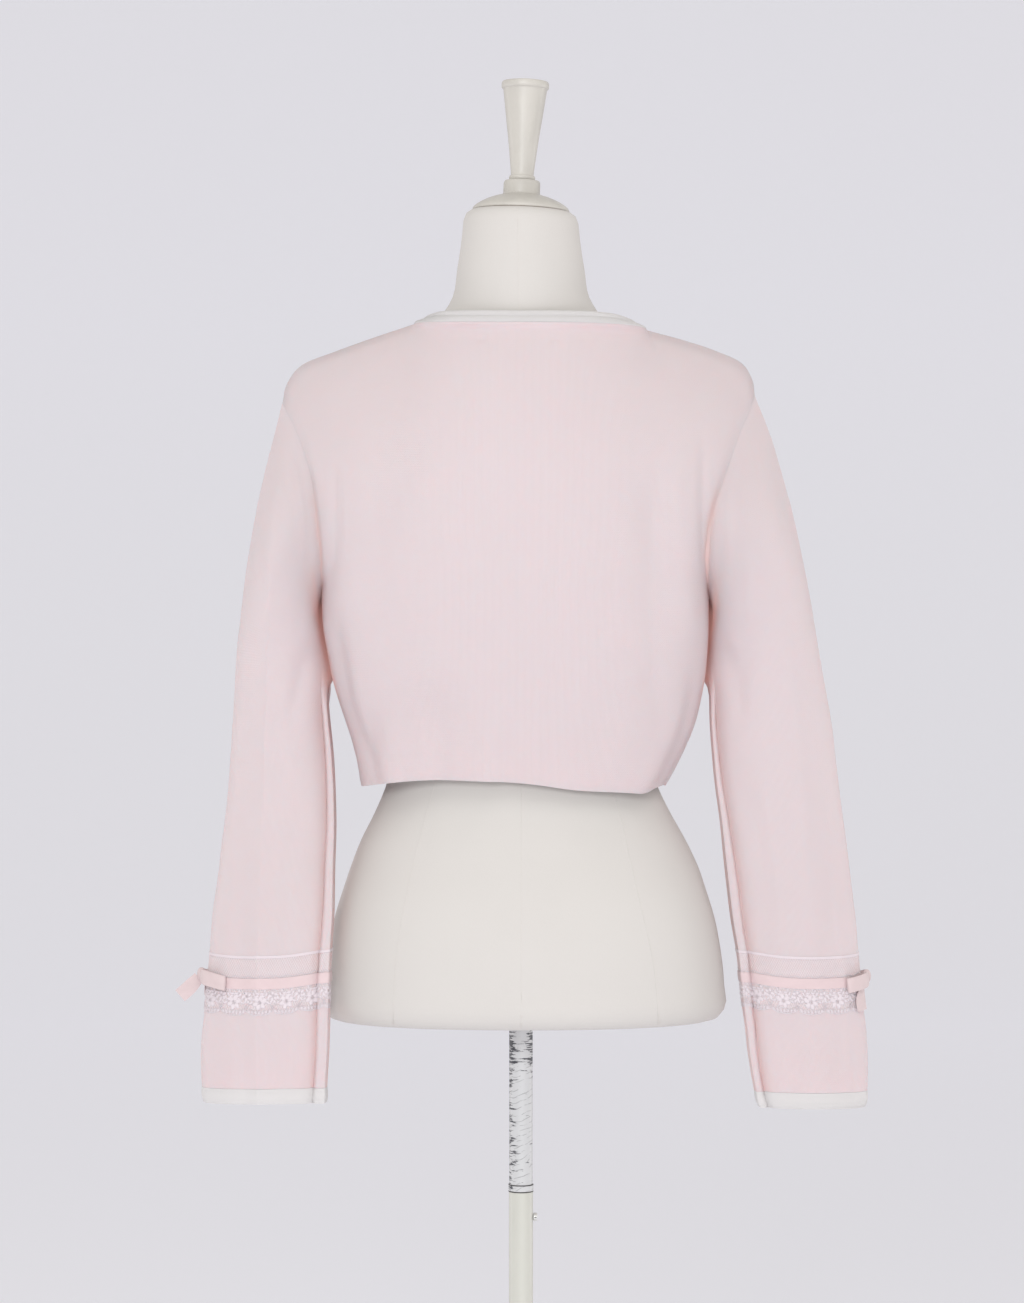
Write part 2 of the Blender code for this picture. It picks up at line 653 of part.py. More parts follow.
def cap_rows(side):
    """Sleeve head: from each armhole point a smooth curve runs down to the sleeve's first level."""
    back, front = armhole(side, "back"), armhole(side, "front")
    start = np.concatenate([back, front[-2:0:-1]])
    level = SLEEVE_ROWS[side][0]
    end, below = sleeve_ring(side, level), sleeve_ring(side, level - 0.02)
    turn = np.arange(len(start)) / len(start) * 2 * pi
    top = (1 - np.cos(turn)) / 2
    away = outward_sign(side) * through(CAP_TOPS, CAP_SPREADS[side], top)
    leave = np.stack([away, -CAP_BULGE * np.sin(turn), top * CAP_TOP_EASE - 1], axis=1)
    length = np.linalg.norm(end - start, axis=1, keepdims=True)
    pull, land = unit(leave) * length, unit(below - end) * length
    t = even(CAP_STEPS)[:-1, None, None]
    return (
        start * (1 + 2 * t) * (1 - t) ** 2
        + pull * t * (1 - t) ** 2
        + end * t * t * (3 - 2 * t)
        - land * t * t * (1 - t)
    )


def sleeve_grid(side):
    """Outer points of a sleeve, from the armhole down."""
    lower = np.array([sleeve_ring(side, z) for z in SLEEVE_ROWS[side]])
    return np.concatenate([cap_rows(side), lower])


def cuff_grid(side):
    return np.array([sleeve_ring(side, z) for z in CUFF_ROWS[side]])


def neck_loop(grids):
    """The neckline from the middle of the front, on the right, round by the back to the left, taken
    from the top rows of the panels."""
    right, left, back = (grids[name][-1] for name in ("front_right", "front_left", "back"))
    middle = grids["band_right"][-1][1:2]
    back_neck = back[SHOULDER_STEPS + 1 : -SHOULDER_STEPS - 1]
    return np.concatenate(
        [
            middle,
            right[: SHOULDER_STEPS - 1 : -1],
            back_neck[::-1],
            left[-SHOULDER_STEPS - 1 :: -1],
            middle,
        ]
    )


def neck_rise(loop, grids):
    """Directions in which the trim leaves the neckline: on along the panels, leaning to the neck,
    and at the shoulders lying on as steeply as they do."""
    ahead = {}
    for grid in grids.values():
        for key, step in zip(place_keys(grid[-1]), unit(grid[-1] - grid[-2])):
            ahead[key] = ahead.get(key, 0) + step
    onward = unit(np.array([ahead[key] for key in place_keys(loop)]))
    inward = unit(loop * (-1, -1, 0))
    side_share = np.abs(inward[:, :1]) ** TRIM_SIDE_POWER
    side_share *= np.exp(-((np.maximum(loop[:, 1:2], 0) / TRIM_FRONT_FADE) ** 2))
    lean = TRIM_LEAN + TRIM_SIDE_LEAN * side_share
    leaning = onward + lean * inward + np.array((0, 0, TRIM_LIFT))
    run = unit(np.gradient(loop, axis=0))
    return unit(leaning - run * np.einsum("ij,ij->i", leaning, run)[:, None])


def trim_grid(grids):
    """Outer points of the neck trim, row by row from the neckline to its free edge."""
    loop = neck_loop(grids)
    shares = np.array([row.share for row in TRIM_ROWS])
    return loop[None] + neck_rise(loop, grids)[None] * TRIM_WIDTH * shares[:, None, None]


def place_keys(points):
    """Places rounded so that points shared by two pieces have the same key."""
    return [tuple(place) for place in np.round(np.asarray(points).reshape(-1, 3), 6)]


def seam_normals(groups):
    """One common normal wherever pieces meet at a seam, halfway between the groups that meet there."""
    total = {}
    for group in groups:
        part = {}
        for grid, normals in group:
            for key, normal in zip(place_keys(grid), normals.reshape(-1, 3)):
                part[key] = part.get(key, 0) + normal
        for key, normal in part.items():
            total[key] = total.get(key, 0) + unit(normal)
    return total


def outlines():
    """Outer points of every cloth piece, and the normals that they share at the seams."""
    grids = {"back": back_grid()}
    grids["front_right"], grids["band_right"], grids["front_left"] = front_grids()
    body = [(grid, grid_normals(grid)) for grid in grids.values()]
    grids["neck_trim"] = trim_grid(grids)
    groups = [body, [(grids["neck_trim"], -grid_normals(grids["neck_trim"]))]]
    for side in SIDES:
        outward = 1 if side == "left" else -1
        names = ("sleeve_" + side, "cuff_" + side)
        grids[names[0]], grids[names[1]] = sleeve_grid(side), cuff_grid(side)
        groups.append([(grids[name], outward * grid_normals(grids[name], True)) for name in names])
    total = seam_normals(groups)
    normals = {
        name: unit(np.array([total[key] for key in place_keys(grid)])).reshape(grid.shape)
        for name, grid in grids.items()
    }
    return grids, normals


def open_seam(grids, shifts, line, normals, members, closed=False):
    """Pulls the pieces on both sides of a seam line back by half the gap, square to the line."""
    if closed:
        run = np.roll(line, -1, axis=0) - np.roll(line, 1, axis=0)
    else:
        run = np.gradient(line, axis=0)
    across = unit(np.cross(normals, run))
    for name, where, inside, order in members:
        middle = len(order) // 2
        inward = grids[name][inside] - line[order[middle]]
        sign = 1 if np.dot(across[order[middle]], inward) > 0 else -1
        shifts[name][where] += sign * SEAM_GAP / 2 * across[order]


def open_seams(grids, normals):
    """How far each point moves so that all seams stand open by the seam gap."""
    shifts = {name: np.zeros_like(grid) for name, grid in grids.items()}
    low, high = slice(0, SIDE_STEPS + 1), slice(SIDE_STEPS, None)
    side_row, arm_row = SIDE_STEPS // 2 + 1, SIDE_STEPS + ARM_STEPS // 2 + 1
    whole = np.arange(SIDE_STEPS + ARM_STEPS + 1)
    up = np.arange(SIDE_STEPS + 1)
    round_back = np.arange(ARM_STEPS + 1)
    round_front = np.concatenate([[0], np.arange(2 * ARM_STEPS - 1, ARM_STEPS - 1, -1)])
    tip_to_neck = np.arange(SHOULDER_STEPS + 1)
    for side in SIDES:
        front = "front_" + side
        back_edge, back_next = (0, 1) if side == "left" else (-1, -2)
        front_edge, front_next = (-1, -2) if side == "left" else (0, 1)
        line, line_normals = grids["back"][low, back_edge], normals["back"][low, back_edge]
        members = (
            ("back", (low, back_edge), (side_row, back_next), up),
            (front, (low, front_edge), (side_row, front_next), up),
        )
        open_seam(grids, shifts, line, line_normals, members)
        sleeve, cuff = "sleeve_" + side, "cuff_" + side
        members = (
            (sleeve, (0,), (1, ARM_STEPS), np.arange(2 * ARM_STEPS)),
            ("back", (high, back_edge), (arm_row, back_next), round_back),
            (front, (high, front_edge), (arm_row, front_next), round_front),
        )
        open_seam(grids, shifts, grids[sleeve][0], normals[sleeve][0], members, True)
        members = (
            (sleeve, (-1,), (-2, ARM_STEPS), np.arange(2 * ARM_STEPS)),
            (cuff, (0,), (1, ARM_STEPS), np.arange(2 * ARM_STEPS)),
        )
        open_seam(grids, shifts, grids[cuff][0], normals[cuff][0], members, True)
        back_run = slice(0, SHOULDER_STEPS + 1) if side == "left" else slice(-1, -SHOULDER_STEPS - 2, -1)
        front_run = slice(-1, -SHOULDER_STEPS - 2, -1) if side == "left" else slice(0, SHOULDER_STEPS + 1)
        middle = SHOULDER_STEPS // 2 + 1
        back_mid = middle if side == "left" else -1 - middle
        front_mid = -1 - middle if side == "left" else middle
        members = (
            ("back", (-1, back_run), (-2, back_mid), tip_to_neck),
            (front, (-1, front_run), (-2, front_mid), tip_to_neck),
        )
        open_seam(grids, shifts, grids["back"][-1, back_run], normals["back"][-1, back_run], members)
        opening, opening_next = (0, 1) if side == "left" else (-1, -2)
        band_edge, band_next = (-1, -2) if side == "left" else (0, 1)
        members = (
            (front, (slice(None), opening), (side_row, opening_next), whole),
            ("band_right", (slice(None), band_edge), (side_row, band_next), whole),
        )
        edge = grids[front][:, opening]
        open_seam(grids, shifts, edge, normals[front][:, opening], members)
    open_neckline(grids, normals, shifts)
    return shifts


def open_neckline(grids, normals, shifts):
    """The seam between the neck trim and the top rows of the panels."""
    loop = grids["neck_trim"][0]
    front, back = FRONT_NECK_STEPS + 1, 2 * BACK_NECK_STEPS + 1
    last = len(loop) - 1
    right_neck = front
    left_neck = right_neck + back - 1
    rows = -2
    members = (
        ("neck_trim", (0,), (1, last // 2), np.arange(last + 1)),
        (
            "front_right",
            (-1, slice(SHOULDER_STEPS, None)),
            (rows, SHOULDER_STEPS + front // 2),
            np.arange(right_neck, 0, -1),
        ),
        (
            "back",
            (-1, slice(SHOULDER_STEPS, -SHOULDER_STEPS)),
            (rows, SHOULDER_STEPS + back // 2),
            np.arange(left_neck, right_neck - 1, -1),
        ),
        (
            "front_left",
            (-1, slice(0, -SHOULDER_STEPS)),
            (rows, front // 2),
            np.arange(last - 1, left_neck - 1, -1),
        ),
        ("band_right", (-1,), (rows, 1), np.array((1, 0, last - 1))),
    )
    open_seam(grids, shifts, loop, normals["neck_trim"][0], members)
    shifts["neck_trim"][:, 0, 0] += SEAM_GAP / 2
    shifts["neck_trim"][:, -1, 0] -= SEAM_GAP / 2


def faces_between(first, second, closed):
    """Four-sided faces between two lines of point numbers."""
    faces = np.stack([first, np.roll(first, -1), np.roll(second, -1), second], axis=1)
    return faces if closed else faces[:-1]


def make_object(name, points, faces, finish):
    """An object from points and faces, with its faces turned outwards."""
    points = np.asarray(points, float)
    fan = [(face[0], face[i], face[i + 1]) for face in faces for i in range(1, len(face) - 1)]
    a, b, c = points[np.array(fan)].transpose(1, 0, 2)
    if np.einsum("ij,ij->", a, np.cross(b, c)) < 0:
        faces = [face[::-1] for face in faces]
    mesh = bpy.data.meshes.new(name)
    mesh.from_pydata(points.tolist(), [], [[int(v) for v in face] for face in faces])
    mesh.materials.append(material(finish))
    mesh.shade_smooth()
    mesh.set_sharp_from_angle(angle=SHARP_ANGLE)
    made = bpy.data.objects.new(name, mesh)
    bpy.context.scene.collection.objects.link(made)
    return made


def wall(name, outer, inner, finish, closed=False):
    """A closed solid between an outer and an inner grid of the same shape."""
    rows, cols = outer.shape[:2]
    top = np.arange(rows * cols).reshape(rows, cols)
    under = top + rows * cols
    points = np.concatenate([outer.reshape(-1, 3), inner.reshape(-1, 3)])
    faces = []
    for row in range(rows - 1):
        faces.extend(faces_between(top[row], top[row + 1], closed))
        faces.extend(faces_between(under[row + 1], under[row], closed))
    edges = [(under[0], top[0], 1), (top[-1], under[-1], 0)]
    if not closed:
        edges += [(top[:, 0], under[:, 0], 0), (under[:, -1], top[:, -1], 1)]
    for first, second, outer_line in edges:
        for face in faces_between(first, second, closed):
            faces.extend(split_edge_face(points, face, outer_line))
    return make_object(name, points, faces, finish)


def split_edge_face(points, face, outer_line):
    """Two triangles of a face at a wall's edge. The cut starts at the outer point that lies further
    along one fixed direction, so that the walls on both sides of a seam are cut alike."""
    a, b, c, d = face
    outer_pair = (d, c) if outer_line else (a, b)
    first, second = (float(points[v] @ EDGE_DIRECTION) for v in outer_pair)
    from_first = (first > second) != bool(outer_line)
    return ((a, b, c), (a, c, d)) if from_first else ((a, b, d), (b, c, d))


def build_panels(grids, normals, shifts):
    """Back, fronts, sleeves, buttonhole band, neck trim and cuff trims."""
    finishes = {"neck_trim": "off-white rib", "cuff_left": "off-white rib", "cuff_right": "off-white rib"}
    raised = {
        "neck_trim": np.array([row.raised for row in TRIM_ROWS])[:, None, None],
        "cuff_left": CUFF_RAISED,
        "cuff_right": CUFF_RAISED,
    }
    for name, grid in grids.items():
        surface = grid + shifts[name]
        outer = surface + normals[name] * raised.get(name, 0.0)
        inner = surface - normals[name] * KNIT
        closed = name.startswith(("sleeve", "cuff"))
        wall(name, outer, inner, finishes.get(name, "pink knit"), closed)


def build_button_band(grids, normals):
    """The band under the opening: the points of the band on top and of the left front, moved in."""
    band, left = grids["band_right"], grids["front_left"]
    band_normals, left_normals = normals["band_right"], normals["front_left"]
    lap = BAND_LAP / np.linalg.norm(left[0, 1] - left[0, 0])
    picks = (
        (band[:, 0] + (band[:, 1] - band[:, 0]) * BAND_HIDDEN, band_normals[:, 0]),
        (band[:, 1], band_normals[:, 1]),
        (band[:, 2], band_normals[:, 2]),
        (left[:, 0] + (left[:, 1] - left[:, 0]) * lap, left_normals[:, 0]),
    )
    surface = np.stack([points for points, _ in picks], axis=1)
    facing = np.stack([facing for _, facing in picks], axis=1)
    surface[-1] += (surface[-2] - surface[-1]) * BAND_SHORT
    outer = surface - facing * (KNIT + LAYER_GAP)
    wall("band_left", outer, outer - facing * KNIT, "pink knit")


def build_buttons(grids, normals):
    """Small round buttons down the middle of the band on top."""
    line, facing = grids["band_right"][:, 1], normals["band_right"][:, 1]
    low, high = line[0, 2] + BUTTON_MARGIN, line[-1, 2] - BUTTON_MARGIN
    for number, z in enumerate(np.linspace(high, low, BUTTON_COUNT)):
        place = [np.interp(z, line[:, 2], line[:, axis]) for axis in range(3)]
        normal = unit(np.array([np.interp(z, line[:, 2], facing[:, axis]) for axis in range(3)]))
        button = turned("button_%d" % (number + 1), BUTTON_PROFILE, BUTTON_SIDES, "shell button")
        button.rotation_euler = Vector(normal).to_track_quat("Z", "Y").to_euler()
        button.location = Vector(place) + Vector(normal) * LAYER_GAP


def turned(name, profile, sides, finish):
    """A solid turned about its own Z axis, flat at its foot and its top."""
    turn = np.arange(sides) / sides * 2 * pi
    points = [(p.radius * cos(a), p.radius * sin(a), p.height) for p in profile for a in turn]
    rings = np.arange(len(points)).reshape(len(profile), sides)
    faces = [face for low, high in zip(rings, rings[1:]) for face in faces_between(low, high, True)]
    faces += [rings[0][::-1], rings[-1]]
    return make_object(name, points, faces, finish)


def lace_zone(side, heights):
    """Places and outward directions on a sleeve's flat faces, at the given heights for each column.
    The columns lie on the sleeve's own lines and, where there are twice as many, halfway between."""
    top_z, low_z = LACE_ZONES[side]
    top, low = sleeve_ring(side, top_z), sleeve_ring(side, low_z)
    outward = 1 if side == "left" else -1
    facing = outward * grid_normals(np.array([top, low]), True)[0]
    if heights.shape[1] == 2 * len(top):
        top, low, facing = (doubled(line) for line in (top, low, facing))
    share = ((top_z - heights) / (top_z - low_z))[..., None]
    return top[None] + (low - top)[None] * share, unit(facing)[None]


def doubled(line):
    """A closed line with a point added halfway along each of its stretches."""
    halves = (line + np.roll(line, -1, axis=0)) / 2
    return np.stack([line, halves], axis=1).reshape(-1, 3)


def build_lace(side):
    """A lace band over the sleeve: a raised header, net, and a floral edge cut in scallops."""
    count = LACE_SCALLOPS * SCALLOP_POINTS
    phase = np.arange(count) % SCALLOP_POINTS / SCALLOP_POINTS
    scallop = np.sqrt(np.sin(phase * pi)) * SCALLOP_DEPTH
    heights = np.array([row.z for row in LACE_ROWS[side]])[:, None] + np.zeros((1, count))
    heights[-1] -= scallop
    surface, facing = lace_zone(side, heights)
    raised = np.array([row.raised for row in LACE_ROWS[side]])[:, None, None]
    inner = surface + facing * LACE_LIFT
    wall("lace_" + side, inner + facing * (LACE + raised), inner, "white lace", True)


def build_ribbon(side):
    """The ribbon that runs round the sleeve on the lace."""
    top = RIBBON_TOPS[side]
    heights = np.array((top, top - RIBBON_WIDTH))[:, None] + np.zeros((1, 2 * ARM_STEPS))
    surface, facing = lace_zone(side, heights)
    inner = surface + facing * (LACE_LIFT + LACE + LAYER_GAP)
    wall("ribbon_" + side, inner + facing * RIBBON, inner, "pink ribbon", True)


def off_sleeve(side, z, round_edge, off):
    """A point near a sleeve's outer edge: round_edge is the way round it towards -Y, off the distance
    from the sleeve. Returned with the direction away from the sleeve."""
    top_z, low_z = LACE_ZONES[side]
    top, low = (sleeve_ring(side, level, 2 * RING_HALF) for level in (top_z, low_z))
    ring = top + (low - top) * (top_z - z) / (top_z - low_z)
    length = np.concatenate([[0], np.cumsum(np.linalg.norm(np.diff(ring, axis=0), axis=1))])
    at = length[RING_HALF] - round_edge + np.array((-1, 0, 1)) * EDGE_STEP
    before, place, after = np.stack([np.interp(at, length, ring[:, axis]) for axis in range(3)], axis=1)
    away = outward_sign(side) * unit(np.cross(after - before, (0, 0, 1)))
    return place + away * off, away


def strip(name, path, across, pinch=1.0):
    """A flat ribbon along a path, its width along the given directions and narrower at its start."""
    facing = unit(np.cross(np.gradient(path, axis=0), across))
    widen = np.clip(even(len(path) - 1) / 0.5, 0, 1)[:, None]
    half_width = unit(across) * BOW_WIDTH / 2 * (pinch + (1 - pinch) * widen)
    half_thick = facing * BOW_RIBBON / 2
    corners = (
        path + half_width + half_thick,
        path - half_width + half_thick,
        path - half_width - half_thick,
        path + half_width - half_thick,
    )
    points = np.stack(corners, axis=1)
    rings = np.arange(points.shape[0] * 4).reshape(-1, 4)
    faces = [face for low, high in zip(rings, rings[1:]) for face in faces_between(low, high, True)]
    faces += [rings[0][::-1], rings[-1]]
    return make_object(name, points.reshape(-1, 3), faces, "pink ribbon")


def build_bow(side):
    """A bow at the sleeve's outer edge: a knot, two loops and two tails."""
    middle_z = RIBBON_TOPS[side] - RIBBON_WIDTH / 2
    knot_at = off_sleeve(side, middle_z, 0.0, BOW_OFF + KNOT_HALF[0])[0]
    turn = even(KNOT_RINGS)[1:-1] * pi
    rounds = [ProfilePoint(sin(a), -cos(a)) for a in turn]
    knot = turned("bow_%s_knot" % side, rounds, KNOT_SIDES, "pink ribbon")
    knot.location = knot_at
    knot.scale = KNOT_HALF
    for face, way in (("back", 1), ("front", -1)):
        build_loop(side, face, way, middle_z)
        if face in HANGING_TAILS[side]:
            build_hanging_tail(side, face, middle_z)
        if face in FREE_TAILS[side]:
            path = knot_at + smooth_rows(FREE_TAILS[side][face], TAIL_STEPS) * (outward_sign(side), -1, 1)
            across = np.cross(np.gradient(path, axis=0), (0, 1, 0))
            strip("bow_%s_tail_%s" % (side, face), path, across)


def build_hanging_tail(side, face, middle_z):
    """A tail that starts under the knot and hangs down on the sleeve."""
    rows = smooth_rows(HANGING_TAILS[side][face], TAIL_STEPS)
    places = [off_sleeve(side, middle_z - drop, round_edge, TAIL_OFF) for round_edge, drop in rows]
    path, away = (np.array(part) for part in zip(*places))
    across = np.cross(np.gradient(path, axis=0), away)
    strip("bow_%s_tail_%s" % (side, face), path, across, TAIL_PINCH)


def smooth_rows(rows, steps):
    """Rows of a short table made into a smooth line."""
    knots = even(len(rows) - 1)
    return np.stack([through(knots, column, even(steps)) for column in zip(*rows)], axis=1)


def build_loop(side, face, way, middle_z):
    """One loop of a bow, out from the knot along the sleeve and back, drooping a little."""
    turn = LOOP_PINCH + (2 * pi - 2 * LOOP_PINCH) * even(LOOP_STEPS)
    out = (1 - np.cos(turn)) / 2
    off = BOW_OFF + BOW_RIBBON / 2 + LOOP_HALF_OPEN * (1 + np.sin(turn))
    round_edge = way * (LOOP_START + (LOOP_LENGTH - LOOP_START) * out)
    z = middle_z - LOOP_DROOP * out
    over, path, under = (
        np.array([off_sleeve(side, *where)[0] for where in zip(z + step, round_edge, off)])
        for step in (BOW_WIDTH / 2, 0.0, -BOW_WIDTH / 2)
    )
    strip("bow_%s_loop_%s" % (side, face), path, over - under)


def torso_ring(section):
    """One level of the torso, from +X round by the front to -X and by the back."""
    turn = np.linspace(0, pi, FINE_STEPS)
    x = section.half * power(np.cos(turn), 2 / section.square)
    deep = power(np.sin(turn), 2 / section.square)
    lean = (section.z - NECK_FOOT_Z) / (NECK_TOP_Z - NECK_FOOT_Z) * tan(NECK_LEAN)
    z = section.z - x * max(lean, 0.0)
    front = along(np.stack([section.centre + x, section.front * deep, z], axis=1), even(TORSO_STEPS))
    back = along(np.stack([section.centre + x, section.back * deep, z], axis=1), even(TORSO_STEPS))
    return np.concatenate([front, back[-2:0:-1]])


def build_torso():
    """The form's body and neck in one, flat at the foot and under the neck cap."""
    points = np.concatenate([torso_ring(section) for section in TORSO_SECTIONS])
    rings = np.arange(len(points)).reshape(len(TORSO_SECTIONS), 2 * TORSO_STEPS)
    faces = [face for low, high in zip(rings, rings[1:]) for face in faces_between(low, high, True)]
    faces += [rings[0][::-1], rings[-1]]
    return make_object("torso", points, faces, "form cloth")


def build_neck_cap_and_finial():
    """The cap and the turned finial, which lean a little to +X with the top of the neck."""
    cap = turned("neck_cap", CAP_PROFILE, CAP_SIDES, "cream paint")
    finial = turned("finial", FINIAL_PROFILE, CAP_SIDES, "cream paint")
    axis = Vector((sin(NECK_LEAN), 0, cos(NECK_LEAN)))
    foot = Vector((0, 0, NECK_TOP_Z)) + axis * CAP_GAP
    for piece, height in ((cap, 0.0), (finial, CAP_PROFILE[-1].height + SEAM_GAP)):
        piece.location = foot + axis * height
        piece.rotation_euler = (0, NECK_LEAN, 0)


def tube(name, radius, low, high, sides, finish):
    made = turned(name, (ProfilePoint(radius, 0.0), ProfilePoint(radius, high - low)), sides, finish)
    made.location = (0, 0, low)
    return made


def build_stand():
    """Base, pole in two tubes with a collar between them, and the clamp screw."""
    torso_foot = TORSO_SECTIONS[0].z
    collar_top = POLE_JOINT_Z + COLLAR_HEIGHT
    turned("base", BASE_PROFILE, BASE_SIDES, "cream paint")
    tube("outer_pole", POLE_RADIUS, HUB_TOP_Z + SEAM_GAP, POLE_JOINT_Z, POLE_SIDES, "cream paint")
    tube("pole_collar", COLLAR_RADIUS, POLE_JOINT_Z + SEAM_GAP, collar_top, POLE_SIDES, "white tube")
    tube("inner_pole", INNER_RADIUS, collar_top + SEAM_GAP, torso_foot - SEAM_GAP, POLE_SIDES, "white tube")
    screw = turned("clamp_screw", CLAMP_PROFILE, BUTTON_SIDES, "screw steel")
    screw.location = (POLE_RADIUS + SEAM_GAP, 0, CLAMP_Z)
    screw.rotation_euler = (0, pi / 2, 0)


def main():
    clear_scene()
    grids, normals = outlines()
    build_panels(grids, normals, open_seams(grids, normals))
    build_button_band(grids, normals)
    build_buttons(grids, normals)
    for side in SIDES:
        build_lace(side)
        build_ribbon(side)
        build_bow(side)
    build_torso()
    build_neck_cap_and_finial()
    build_stand()


main()
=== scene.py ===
import math

import bpy
import numpy as np
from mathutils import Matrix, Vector


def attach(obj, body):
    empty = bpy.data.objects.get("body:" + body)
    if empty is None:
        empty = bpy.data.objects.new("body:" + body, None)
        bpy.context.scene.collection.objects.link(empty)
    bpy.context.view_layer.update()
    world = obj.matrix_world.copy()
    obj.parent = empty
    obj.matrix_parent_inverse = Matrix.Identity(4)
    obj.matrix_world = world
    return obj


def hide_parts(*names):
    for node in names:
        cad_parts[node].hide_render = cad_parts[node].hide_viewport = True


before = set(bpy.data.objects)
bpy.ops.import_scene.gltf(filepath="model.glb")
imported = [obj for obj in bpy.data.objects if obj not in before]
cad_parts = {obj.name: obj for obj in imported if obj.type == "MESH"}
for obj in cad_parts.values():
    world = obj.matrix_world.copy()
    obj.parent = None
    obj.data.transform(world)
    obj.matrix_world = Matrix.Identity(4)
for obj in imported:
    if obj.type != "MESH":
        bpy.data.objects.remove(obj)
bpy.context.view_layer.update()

# Lace cardigan on a dress form, dressed over its solids. Metres, +Z up, the back of the garment faces -Y.
print("stage: frame loaded")


# Small tools for tables and grids

def table(names, *rows):
    # a short table with named columns
    return dict(zip(names.split(), np.array(rows, float).T))


def through(knots, values, at):
    # cubic pieces through the values, with slopes taken from the neighbours
    knots, values, at = (np.asarray(a, float) for a in (knots, values, at))
    order = np.argsort(knots)
    knots, values = knots[order], values[order]
    slopes = np.gradient(values, knots)
    piece = np.clip(np.searchsorted(knots, at, "right") - 1, 0, len(knots) - 2)
    width = knots[piece + 1] - knots[piece]
    t = np.clip((at - knots[piece]) / width, 0, 1)
    return (values[piece] * (1 + 2 * t) * (1 - t) ** 2 + slopes[piece] * width * t * (1 - t) ** 2
            + values[piece + 1] * t * t * (3 - 2 * t) - slopes[piece + 1] * width * t * t * (1 - t))


def between(points, at, closed=False):
    # the same cubic pieces along the first axis of an array, at fractional row numbers
    at = np.asarray(at, float)
    count = len(points)
    if closed:
        slopes = (np.roll(points, -1, axis=0) - np.roll(points, 1, axis=0)) / 2
        low = np.floor(at).astype(int) % count
        high = (low + 1) % count
        t = at - np.floor(at)
    else:
        slopes = np.gradient(points, axis=0)
        low = np.clip(np.floor(at).astype(int), 0, count - 2)
        high = low + 1
        t = at - low
    t = t.reshape((-1,) + (1,) * (points.ndim - 1))
    return (points[low] * (1 + 2 * t) * (1 - t) ** 2 + slopes[low] * t * (1 - t) ** 2
            + points[high] * t * t * (3 - 2 * t) - slopes[high] * t * t * (1 - t))


def finer(grid, rowTimes, colTimes):
    # a smooth finer grid through the points of a coarse one
    rows = between(grid, np.linspace(0, len(grid) - 1, (len(grid) - 1) * rowTimes + 1))
    cols = rows.transpose(1, 0, 2)
    at = np.linspace(0, len(cols) - 1, (len(cols) - 1) * colTimes + 1)
    return between(cols, at).transpose(1, 0, 2)


def kinked(points, at, breaks):
    # the same smooth line, free to bend at the breaks
    ends = sorted({0, len(points) - 1, *breaks})
    at = np.asarray(at, float)
    line = np.empty((len(at),) + points.shape[1:])
    for first, last in zip(ends, ends[1:]):
        inside = (at >= first) & (at <= last)
        line[inside] = between(points[first:last + 1], at[inside] - first)
    return line


def unit(vectors):
    return vectors / np.maximum(np.linalg.norm(vectors, axis=-1, keepdims=True), 1e-12)


def along(line, shares):
    # points at shares of a fine line's length
    length = np.concatenate([[0], np.cumsum(np.linalg.norm(np.diff(line, axis=0), axis=1))])
    at = np.asarray(shares) * length[-1]
    return np.stack([np.interp(at, length, line[:, axis]) for axis in range(3)], axis=1)


def smoothLine(points, count=160):
    # a fine smooth line through a few points, even in length
    points = np.asarray(points, float)
    length = np.concatenate([[0], np.cumsum(np.linalg.norm(np.diff(points, axis=0), axis=1))])
    at = np.linspace(0, length[-1], count)
    return np.stack([through(length, points[:, axis], at) for axis in range(3)], axis=1)


def power(values, exponent):
    # a power that keeps the sign, for superellipses
    return np.sign(values) * np.abs(values) ** exponent


def even(steps):
    # equal shares from 0 to 1
    return np.linspace(0, 1, steps + 1)


def normalsOf(grid, closed=False):
    # the direction square to the rows and columns of a grid
    over = np.roll(grid, -1, axis=1) - np.roll(grid, 1, axis=1) if closed else np.gradient(grid, axis=1)
    return unit(np.cross(over, np.gradient(grid, axis=0)))


def smoothStep(x):
    # 0 to 1 with a soft start and a soft end
    x = np.clip(x, 0, 1)
    return x * x * (3 - 2 * x)


def lengthsAcross(grid):
    # running length along each row of a grid
    steps = np.linalg.norm(np.diff(grid, axis=1), axis=2)
    return np.concatenate([np.zeros((len(grid), 1)), np.cumsum(steps, axis=1)], axis=1)


# Mesh makers

def newMesh(name, points, quads, finish, uv=None, sharp=40, paintedLight=None):
    # one object from point and face arrays, turned outwards by its signed volume;
    # the painted warm light is 0 to 1 a point
    points = np.asarray(points, float)
    a, b, c = points[quads[:, 0]], points[quads[:, 1]], points[quads[:, 2]]
    d = points[quads[:, -1]]
    volume = np.einsum("ij,ij->", a, np.cross(b, c)) + np.einsum("ij,ij->", a, np.cross(c, d))
    if volume < 0:
        quads = quads[:, ::-1]
        uv = None if uv is None else uv[:, ::-1]
    mesh = bpy.data.meshes.new(name)
    mesh.from_pydata(points.tolist(), [], quads.tolist())
    if uv is not None:
        layer = mesh.uv_layers.new(name="cloth")
        layer.data.foreach_set("uv", np.asarray(uv, np.float32).ravel())
    if paintedLight is not None:
        warm = mesh.attributes.new("paintedLight", "FLOAT", "POINT")
        warm.data.foreach_set("value", np.asarray(paintedLight, np.float32))
    mesh.materials.append(finish)
    mesh.shade_smooth()
    mesh.set_sharp_from_angle(angle=math.radians(sharp))
    piece = bpy.data.objects.new(name, mesh)
    bpy.context.scene.collection.objects.link(piece)
    return piece


